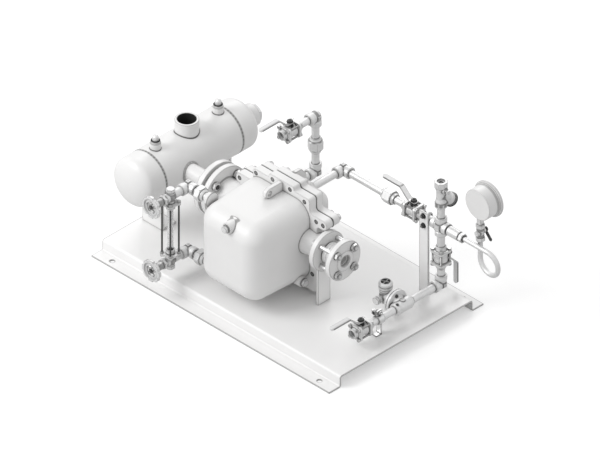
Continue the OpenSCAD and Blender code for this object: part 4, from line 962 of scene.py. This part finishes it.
def union():
    """A union along Z: its big nut between two coned ends."""
    cone = lathe([(0, 12), (17.6, 12, 1), (14.6, 19, 1), (14.6, 23, 1), (10.9, 23, 0.5), (10.9, 19),
                  (0, 19)], 44)
    return [hexagon(37, -14.5, 14.5, 38), cone, put(cone, way="-z")]


elbows = []
for place, ways, back in (((EXHAUST_X, EXHAUST_Y, TOP_Z), ("z", "-y"), "x"),
                          ((EXHAUST_X, EXHAUST_Y, EXHAUST_Z), ("-z", "-y"), "x"),
                          ((PUMP_X, STEAM_Y, TOP_Z), ("x", "-y"), "z"),
                          ((CROSS_X, STEAM_Y, DRIP_Z), ("z", "-y"), "x")):
    elbows += moved(elbow(ways, back), place)
piece("screwed_elbows", {fitting_steel: elbows}, "pipe_elbows")
unions = [*moved(union(), (EXHAUST_X, EXHAUST_Y, UNION_Z)),
          *moved(union(), (UNION_X, STEAM_Y, TOP_Z), "x")]
piece("pipe_union_pair", {fitting_steel: unions}, "pipe_unions")
cross_at = (CROSS_X, STEAM_Y, TOP_Z)
cross = [*(put(ARM, way=w) for w in ("x", "-x", "z", "-z")), ball(15.3),
         put(pad(19, 17.6, 9), way="-y")]
piece("pipe_cross", {fitting_steel: moved(cross, cross_at)}, "steam_cross")

# %% The strainer and its cap
def eight_sided(af, low, high, bore=0.0, n=64):
    """An eight-sided prism with its corners cut by a cone at both ends."""
    side = polygon_side(8, af, n)
    flat = np.minimum(side, af / 2 - 0.4)
    rows = [(flat, low), (side, low + 1.6), (side, high - 1.6), (flat, high)]
    if bore:
        rows += [(bore, high), (bore, low)]
    return lofted([ring(r, z, n) for r, z in rows], loop=bool(bore))


LEG = np.array([[1, 0, 0], [0, -DIAGONAL, DIAGONAL], [0, -DIAGONAL, -DIAGONAL]])
barrel = lathe([(0, -36), (15.2, -36), (15.2, -22, 3), (12.8, -14, 3), (12.8, 8, 3), (15.2, 16, 3),
                (15.2, 30), (0, 30)], 44)
y_leg = lathe([(0, 2), (14.5, 2), (15.5, 28, 5), (17.5, 34, 3), (17.5, 46, 1), (0, 46)], 44)
web = filleted([(0, -30, 1), (0, 24, 6), (28, -26, 4), (24, -32, 4)], steps=3)
strainer = [barrel, eight_sided(35, 22, 40, 10.9), eight_sided(33, -40, -26), put(y_leg, way=LEG),
            put(plate_from(web, -3, 3, 1.2), way="yz"), put(rod(9, 0, 19, 1.2), (0, 0, 16), "x"),
            collar(6.5, 10.9, 33, 35.5), rod(10.8, 20, 32, 0.2)]
strainer_at = np.array((CROSS_X, STEAM_Y, STRAINER_Z))
piece("y_strainer", {fitting_steel: moved(strainer, strainer_at)},
      "steam_strainer")
leg_end = strainer_at + LEG @ (0, 0, 46)
cap = lathe([(0, 0), (20, 0, 0.6), (20, 8, 1.2), (17, 8, 0.5), (15, 7, 0.5), (0, 7)])
cap_parts = moved([cap, hexagon(22, 6.5, 15)], leg_end, LEG)
cap_parts += moved(square_plug(6.5, 10, 8), strainer_at + (19, 0, 16), "x")
seals = [collar(15, 18.2, -0.6, 0.6, 0.2), collar(19.4, 20.3, 1, 7.4, 0.3)]
piece("strainer_cap_set", {fitting_steel: cap_parts, black_rubber: moved(seals, leg_end, LEG)},
      "strainer_cap")

# %% [markdown]
# ## Ball valves
# Four equal three-piece valves: a middle block between two square plates on four bolts. A valve is
# made once in its own frame, with the flow along X and the stem up. Each of the four frames is a
# matrix and a place.

# %% Three-piece ball valves
VALVES = {
    "exhaust_valve": (spin(-90), (EXHAUST_X, EXHAUST_VALVE_Y, EXHAUST_Z)),
    "steam_valve": (spin(180), (STEAM_VALVE_X, STEAM_Y, TOP_Z)),
    "blowdown_valve": (spin(-90, 0) @ spin(90), (CROSS_X, STEAM_Y, BLOWDOWN_Z)),
    "drain_valve": (spin(-90), (CROSS_X, DRAIN_Y, DRIP_Z)),
}


def valve_block():
    """The middle block with its grooves, two end plates and two sockets, and the dark gland."""
    block = lathe([(12.9, -14.5), (17, -14.5, 1), (18, -11, 2), (18, -5, 1), (17.2, -3.5, 1),
                   (17.2, 3.5, 1), (18, 5, 1), (18, 11, 2), (17, 14.5, 1), (12.9, 14.5)], 44, 2)
    socket = lathe([(10.9, 22), (16, 22), (14, 26, 3), (14, 34, 1.6), (10.9, 34, 0.6)], 44)
    seat_ring = turned([(6.6, 12.6), (14, 12.6), (14, 22.5), (6.6, 22.5)], 36)
    gland = lathe([(4.2, 14), (9, 14), (9, 20, 0.8), (7.4, 21, 0.5), (7.4, 24, 0.8), (4.2, 24)],
                  36, 2)
    plate = holed(oblong(43, 43, 7, 5), (0, 0), 10.8, 14.5, 22.5, 1.3, 96)
    ends = [p for way in ("x", "-x") for p in moved((plate, socket, seat_ring), way=way)]
    return ([put(block, way="x"), *ends, plate_from(oblong(22, 16, 3), 16, 19.5)],
            [gland, hexagon(16, 19.8, 23)])


def valve_bolts():
    """Four bolts through the plates, with nuts at one end."""
    bolt = threaded(3, -22.5, 26.5, 1.1, 20), hexagon(10, -26.5, -22.5), hexagon(10, 22.5, 27.5)
    return [put(p, (0, y, z), "x") for y in (-15.6, 15.6) for z in (-15.6, 15.6) for p in bolt]


def valve_lever():
    """The cranked strap, the moulded sleeve on the grip and the strap's nut on the stem."""
    top, rise, run, end = 53.0, 16.0, 46.0, 106.0
    side = filleted([(-10, 25, 1), (rise, 25, 6), (run, top, 6), (end, top, 1), (end, top + 4, 1),
                     (run - 2, top + 4, 9), (rise - 2, 29, 9), (-10, 29, 1)])
    strap = plate_from(side, -8, 8, 1.0)
    outline = filleted([(44, -6.6, 3), (112, -6.6, 6), (112, 6.6, 6), (44, 6.6, 3)], steps=6)
    nut = [hexagon(14, 30, 34), collar(4.1, 9, 29, 30.2, 0.3), rod(3.6, 32, 35.6, 0.6)]
    return [put(strap, way="-y")], [plate_from(outline, 50.8, 58.9, 2.6, 4)], nut


for name, (matrix, place) in VALVES.items():
    block, gland = (moved(parts, place, matrix) for parts in valve_block())
    piece(name + "_casting", {fitting_steel: block, dark_steel: gland},
          name + "_body")
    strap, sleeve, nut = (moved(parts, place, matrix) for parts in valve_lever())
    piece(name + "_handle", {lever_zinc: strap, sleeve_vinyl: sleeve, dark_steel: nut},
          name + "_lever")
bolts = [p for matrix, place in VALVES.values() for p in moved(valve_bolts(), place, matrix)]
piece("valve_bolt_set", {zinc: bolts}, "valve_bolts")

# %% [markdown]
# ## Gauge glass
# Two cocks on banded elbows hold the glass, with four guard rods between square plates. The upper
# cock is the lower one's mirror image.

# %% Cocks, connections, glass and guard rods
CORNERS = [(x, y) for x in (-15.5, 15.5) for y in (-15.5, 15.5)]


def glass_cock():
    """The lower cock: body and bonnet towards -Y, a ribbed gland, the riser with its square plate
    and nuts, and a drain plug below."""
    step = np.arange(33, 57, 1.5)
    ribs = [(0, 32), *zip(saw(len(step), 11.2, 9.8), step), (0, 57)]
    parts = moved((rod(12, -45, 24, 1.2), hexagon(26, 20, 32), turned(ribs, 40), rod(5.5, 56, 60)),
                  way="-y")
    parts += [ball(14), rod(11, 0, 26, 1), hexagon(21, -25, -14), rod(11.5, -15, 0, 1),
              plate_from(oblong(43, 43, 6), 18, 23, 1.2)]
    for corner in CORNERS:
        parts += moved((hexagon(9, 23, 27), hexagon(9, 13.5, 18)), (*corner, 0))
    return parts


def connection():
    """The elbow, a nipple, the union nut and the pipe into the pump's boss, along X."""
    tail = lathe([(0, 54), (16.5, 54, 1), (16.5, 59, 2), (12, 64, 1.5), (0, 64)], 44)
    run = rod(10, 24, 42), hexagon(38, 38, 56, 34), tail, rod(PIPE_R, 62, 80)
    return elbow(("-y", "x"), "z") + moved(run, way="x")


def both(parts):
    """A cock's parts at the lower place and their mirror image at the upper one."""
    flipped = [mirrored(p) for p in parts]
    return moved(parts, (GLASS_X, GLASS_Y, LOW_Z)) + moved(flipped, (GLASS_X, GLASS_Y, HIGH_Z))


piece("gauge_glass_cocks", {fitting_steel: both(glass_cock())}, "glass_cocks")
arms = [p for z in (LOW_Z, HIGH_Z) for p in moved(connection(), (GLASS_X, ARM_Y, z))]
piece("gauge_glass_arms", {fitting_steel: arms}, "glass_connections")
gland = lathe([(8.1, 26.1), (12.4, 26.1), (12.4, 30), (11.4, 30.5), (11.4, 32), (12.4, 32.5),
               (12.4, 36), (8.1, 36)], 40, 4, 0.4)
piece("glass_gland_rings", {fitting_steel: both([gland])}, "gland_nuts")
tube = put(collar(5.6, 8, LOW_Z + 16, HIGH_Z - 16, 0.6), (GLASS_X, GLASS_Y, 0))
piece("sight_glass", {gauge_glass: [tube]}, "glass_tube")
rods = [put(rod(2.5, LOW_Z + 16, HIGH_Z - 16, 0.4, 20), (GLASS_X + x, GLASS_Y + y, 0))
        for x, y in CORNERS]
piece("glass_guard_rods", {dark_steel: rods}, "guard_rods")

# %% Handwheels
def handwheel(n=192):
    """A wheel about Z. Its outer radius is 32, and within a notch it is 33 cos d - sqrt(25 - s^2)
    with s = 33 sin d, so each finger notch is a round bite. The web is dished behind the rim."""
    d = angles(n) % (math.pi / 4) - math.pi / 8
    s = 33 * np.sin(d)
    bite = 33 * np.cos(d) - np.sqrt(np.maximum(25 - s ** 2, 0))
    r = np.minimum(np.where(np.abs(s) < 5, bite, 32), 32)
    section = [(15.5, -2.6), (16.2, -3.2), (21, -3.4), (22.5, -4.5), (r - 1.6, -4.5), (r - 0.4, -4),
               (r, -2.8), (r, 2.8), (r - 0.4, 4), (r - 1.6, 4.5), (24, 4.5), (23.2, 1.6), (21, 1.2),
               (16.6, 2.4), (15.5, 1.8)]
    rim = lofted(np.stack([ring(v, z, n) for v, z in section], axis=1), loop=True)
    spoke = box_of((7, -2, -2.4), (17.5, 2, 0.8), 0.5)
    spokes = [put(spoke, way=spin(72 * i + 18)) for i in range(5)]
    return [rim, rod(9.2, -4.5, 1.6, 0.8), *spokes], [hexagon(11, 1.2, 4.2), rod(4, -61, 1)]


for name, z in (("upper_handwheel", HIGH_Z), ("lower_handwheel", LOW_Z)):
    wheel, nut = (moved(parts, (GLASS_X, GLASS_Y - 69, z), "-y") for parts in handwheel())
    piece(name + "_casting", {fitting_steel: wheel, dark_steel: nut}, name)

# %% [markdown]
# ## Steam trap and pipe clamps
# The trap stands on a two-bolt connector in the drip line. Its cap is a stack of turned rings with
# a slotted top, whose recess is lined black as painted shade.

# %% Trap connector, trap and cap
trap_at, connector_at = (307.5, CONNECTOR_Y, DRIP_Z), (CROSS_X, CONNECTOR_Y, DRIP_Z)
barrel = lathe([(0, -31.5), (15.5, -31.5, 1), (17, -29, 1), (17, -21, 1), (16, -19, 1),
                (17.2, 0, 4), (17.2, 22, 4), (13.2, 31.5, 1), (0, 31.5)])
face = lathe([(0, 4), (19, 4, 2), (21, 17, 3), (35, 18.4, 1.6), (35, 26, 0.8), (0, 26)], 64, 4)
screw = rod(4.2, 14, 20.5, 0.8, 24)
screws = [put(screw, (0, -4.8, 23.1), "-x"), put(screw, (0, 23, -12), "-x"),
          put(rod(3.4, 12, 18.6, 0.8, 24), (5, -24, 0))]
connector = [put(barrel, way="y"), put(face, way="-x"), rod(7, 12, 19, 1)]
piece("trap_connector_casting", {fitting_steel: moved(connector, connector_at),
                                 dark_steel: moved(screws, connector_at)},
      "trap_connector")
flange = lathe([(0, 26.8), (35, 26.8, 0.8), (35, 34, 1.6), (20, 36, 3), (18, 62, 2), (0, 62)], 64,
               4)
trap_body = lathe([(0, -18), (15, -18, 1), (17, -15, 1), (17, 8, 1), (15.4, 10, 0.6),
                   (15.4, 14, 0.6), (17, 16, 0.6), (17, 18, 0.4), (0, 18)])
arm = lathe([(0, 0), (12, 0), (11, 16, 1), (9, 18, 0.5), (9, 20, 0.5), (11, 22, 0.8), (11, 30, 1),
             (0, 30)], 40)
trap = [put(flange, connector_at, "-x"), put(trap_body, trap_at),
        *moved([arm, hexagon(20, 30, 38)], trap_at, "-y")]
piece("steam_trap_body", {fitting_steel: trap}, "trap_body")
cap = lathe([(0, 18.2), (17, 18.2, 0.5), (17, 23.4, 0.5), (16, 24, 0.3), (16, 25, 0.3),
             (19, 26, 1.6), (19, 32.2, 1.6), (16.6, 33.2, 0.3), (16.6, 35, 0.3), (19, 36, 1.6),
             (19, 41.6, 1.6), (15.6, 46, 0.5), (13, 46, 0.3), (13, 43.4, 0.2), (0, 43.4)])
bar = box_of((-12.6, -1.3, 43.2), (12.6, 1.3, 45.6), 0.4)
# Painted shade: a black disc lines the floor of the cap's recess.
piece("steam_trap_cap", {fitting_steel: [put(cap, trap_at),
                                         *(put(bar, trap_at, spin(a)) for a in (25, 100))],
                         painted_shade_black: [put(rod(12.9, 43.2, 43.9, 0.1), trap_at)]},
      "trap_cap")

# %% U-bolt and foot clamp
POST_X, POST_Y, CLAMP_Y = 321.5, 178.55, -33.5
arc = [(POST_X, STEAM_Y + 15 * math.sin(t), TOP_Z + 15 * math.cos(t))
       for t in np.linspace(0, math.pi, 25)]
path = [(POST_X, POST_Y - 10, TOP_Z + 15), *arc, (POST_X, POST_Y - 10, TOP_Z - 15)]
nut = collar(3.2, 8, 0, 1.2, 0.3), hexagon(12, 1.2, 6), threaded(3, 4, 9.4, 1.1, 20)
nuts = [p for z in (-15, 15) for p in moved(nut, (POST_X, POST_Y - 0.2, TOP_Z + z), "-y")]
lobes = ring(9.2 + 1.8 * np.cos(5 * angles(80)), 0, 80)[:, :2]
knob_at = (CROSS_X - 7.5, CLAMP_Y - 3, DRIP_Z + 21)
knob = moved([plate_from(lobes, 0, 9, 1.6, 3), collar(4.6, 6.4, 8.5, 9.8, 0.4)], knob_at, "-y")
# Painted shade: black discs fill the knob's hole.
knob_hole_shade = moved([rod(4.7, 8.6, 9.5, 0.1), rod(2.6, -8, 0.2, 0.2)], knob_at, "-y")
band = moved([put(collar(10.75, 14, -10, 10, 0.8), way="y"),
              box_of((-8.5, -2, 35 - DRIP_Z), (8.5, 2, -11)),
              box_of((-8.5, -18, 35 - DRIP_Z), (8.5, 2, 38 - DRIP_Z)),
              box_of((-3, -10, 11), (3, 10, 28), 1.5),
              *moved([rod(3, -10, 12, 0.4, 20), hexagon(10, 3, 8)], (0, 0, 21), "x")],
             (CROSS_X, CLAMP_Y, DRIP_Z))
piece("pipe_clamp_set", {zinc: [swept(path, 3, (1, 0, 0)), *band, *knob], dark_steel: nuts,
                         painted_shade_black: knob_hole_shade}, "pipe_clamps")

# %% [markdown]
# ## Siphon, gauge cock and pressure gauge
# The pigtail keeps steam out of the gauge. The dial looks away from the drawing's side, so its
# numbers are plain and show in the views from behind.

# %% Pigtail siphon and gauge cock
GAUGE_X, SIPHON_Y, COCK_Z, GAUGE_Z, CASE_Y = 497.0, 211.5, 272.0, 388.5, 200.0
loop = [(GAUGE_X + 38 + 38 * math.cos(t), STEAM_Y + 17 * i / 72, TOP_Z - 38 + 38 * math.sin(t))
        for i, t in enumerate(np.radians(90 - 270 * np.linspace(0, 1, 73)))]
path = [(441.5, STEAM_Y, TOP_Z), (480, STEAM_Y, TOP_Z), *loop, (GAUGE_X, SIPHON_Y, 250),
        (GAUGE_X, SIPHON_Y, COCK_Z)]
socket = lathe([(0, -4), (12.4, -4, 0.5), (13.6, -2, 1), (13.6, 34, 2), (12, 36, 0.6), (0, 36)], 44)
socket_at = (CROSS_X + 34, STEAM_Y, TOP_Z)
siphon = [swept(path, 6.85, (0, 1, 0), 20), put(rod(PIPE_R, 16, 34, 0.4), cross_at, "x"),
          *moved([socket, hexagon(24, 38, 50)], socket_at, "x")]
siphon_dark = moved([collar(8, 12.8, 36, 38, 0.3), collar(6.9, 9.5, 49.5, 50.6, 0.2)],
                    socket_at, "x")
piece("pigtail_siphon", {fitting_steel: siphon, dark_steel: siphon_dark},
      "siphon_tube")
stack = lathe([(0, 11), (9, 11, 0.5), (10, 14, 1.5), (10, 38, 1.5), (9, 41, 0.5), (0, 41)], 44)
cock = [hexagon(22, 0, 12), stack, *(collar(9, 10.6, z, z + 1.6) for z in (15, 18.4, 33, 36.4)),
        hexagon(22, 40, 52), put(rod(7.5, -15, 15, 1), (0, 0, 26), "y")]
piece("gauge_cock_body", {fitting_steel: moved(cock, (GAUGE_X, SIPHON_Y, COCK_Z))},
      "gauge_cock")
pin_at = (GAUGE_X, SIPHON_Y, COCK_Z + 26)
key = filleted([(-4.5, -3, 3), (4.5, -3, 3), (5.4, -32, 2), (0, -36, 2), (-4, -32, 2)], steps=4)
arm = put(plate_from(key, -19.4, -15.4, 1), pin_at, spin(-40, 1) @ TURNS["-y"])
piece("gauge_cock_key", {dark_steel: [arm, *moved([rod(4, -5, 21), hexagon(12, 19, 23)],
                                                  pin_at, "y")]},
      "gauge_cock_lever")

# %% Gauge case, dial, pointer and lens
FACE = np.array([[-1, 0, 0], [0, 0, 1], [0, 1, 0]])
START, SWEEP = 225, 270
case_at = np.array((GAUGE_X, CASE_Y, GAUGE_Z))
case = lathe([(0, 0), (43.4, 0, 1), (45, 1.8, 1), (45, 36.8, 0.5), (48.5, 37.4, 0.5),
              (48.5, 39.6, 0.4), (52, 40.6, 0.8), (52, 45, 0.8), (50.6, 46, 0.5), (46, 46, 0.8),
              (44, 42, 0.5), (42.5, 40.5, 0.3), (42.5, 29, 0.3), (38, 28, 0.5), (38, 8, 0.5),
              (0, 8)], 96)
stem = box_of((-7, -7, COCK_Z + 52), (7, 7, GAUGE_Z - 40), 1.2)
piece("gauge_case_shell", {vessel_paint: [put(case, case_at, "y")],
                           fitting_steel: [put(stem, (GAUGE_X, SIPHON_Y, 0))],
                           black_rubber: [put(collar(42.4, 44.2, 40.4, 41.6, 0.3), case_at, "y")]},
      "gauge_case")
marks = []
for i in range(41):
    long, half = (3.2, 0.35) if i % 5 else (6, 0.6)
    mark = box_of((36.5 - long, -half, 0), (36.5, half, 0.25), 0.1)
    marks.append(put(mark, way=spin(START - SWEEP * i / 40)))
for i in range(9):
    t = math.radians(START - SWEEP * i / 8)
    curve = bpy.data.curves.new("number", "FONT")
    curve.body, curve.size, curve.extrude = str(2 * i), 7.0, 0.12
    curve.align_x, curve.align_y = "CENTER", "CENTER"
    text = in_scene("number", curve)
    mesh = bpy.data.meshes.new_from_object(
        text.evaluated_get(bpy.context.evaluated_depsgraph_get()))
    points = np.array([v.co for v in mesh.vertices]) + (25 * math.cos(t), 25 * math.sin(t), 0.12)
    marks.append((points, [list(f.vertices) for f in mesh.polygons]))
    bpy.data.objects.remove(text)
    bpy.data.meshes.remove(mesh)
    bpy.data.curves.remove(curve)
dial_at, needle_at = case_at + (0, 31.5, 0), case_at + (0, 32, 0)
dial = [collar(2.2, 42.2, -1.5, 0, 0.2, 72), rod(6, -1.4, 0.6, 0.3)]
piece("gauge_dial_plate", {dial_lacquer: moved(dial, dial_at, FACE),
                           pointer_black: moved(marks, dial_at, FACE)}, "gauge_dial")
needle = filleted([(-12, -2.4), (0, -2), (33, -0.3), (33, 0.3), (0, 2), (-12, 2.4)], 0.2, 2)
needle = put(plate_from(needle, 0.5, 1.4, 0.2), needle_at, FACE @ spin(START))
piece("gauge_needle", {pointer_black: [needle],
                       fitting_steel: [put(rod(4.5, 0, 2.2, 0.6), needle_at, FACE)]},
      "gauge_pointer")
lens = turned([(0, 0), (42, 0), (42.2, 0.3), (42.2, 2), (41.6, 2.5), (30, 2.8), (0, 3)], 72)
piece("gauge_window", {gauge_glass: [put(lens, case_at + (0, 41, 0), "y")]},
      "gauge_lens")
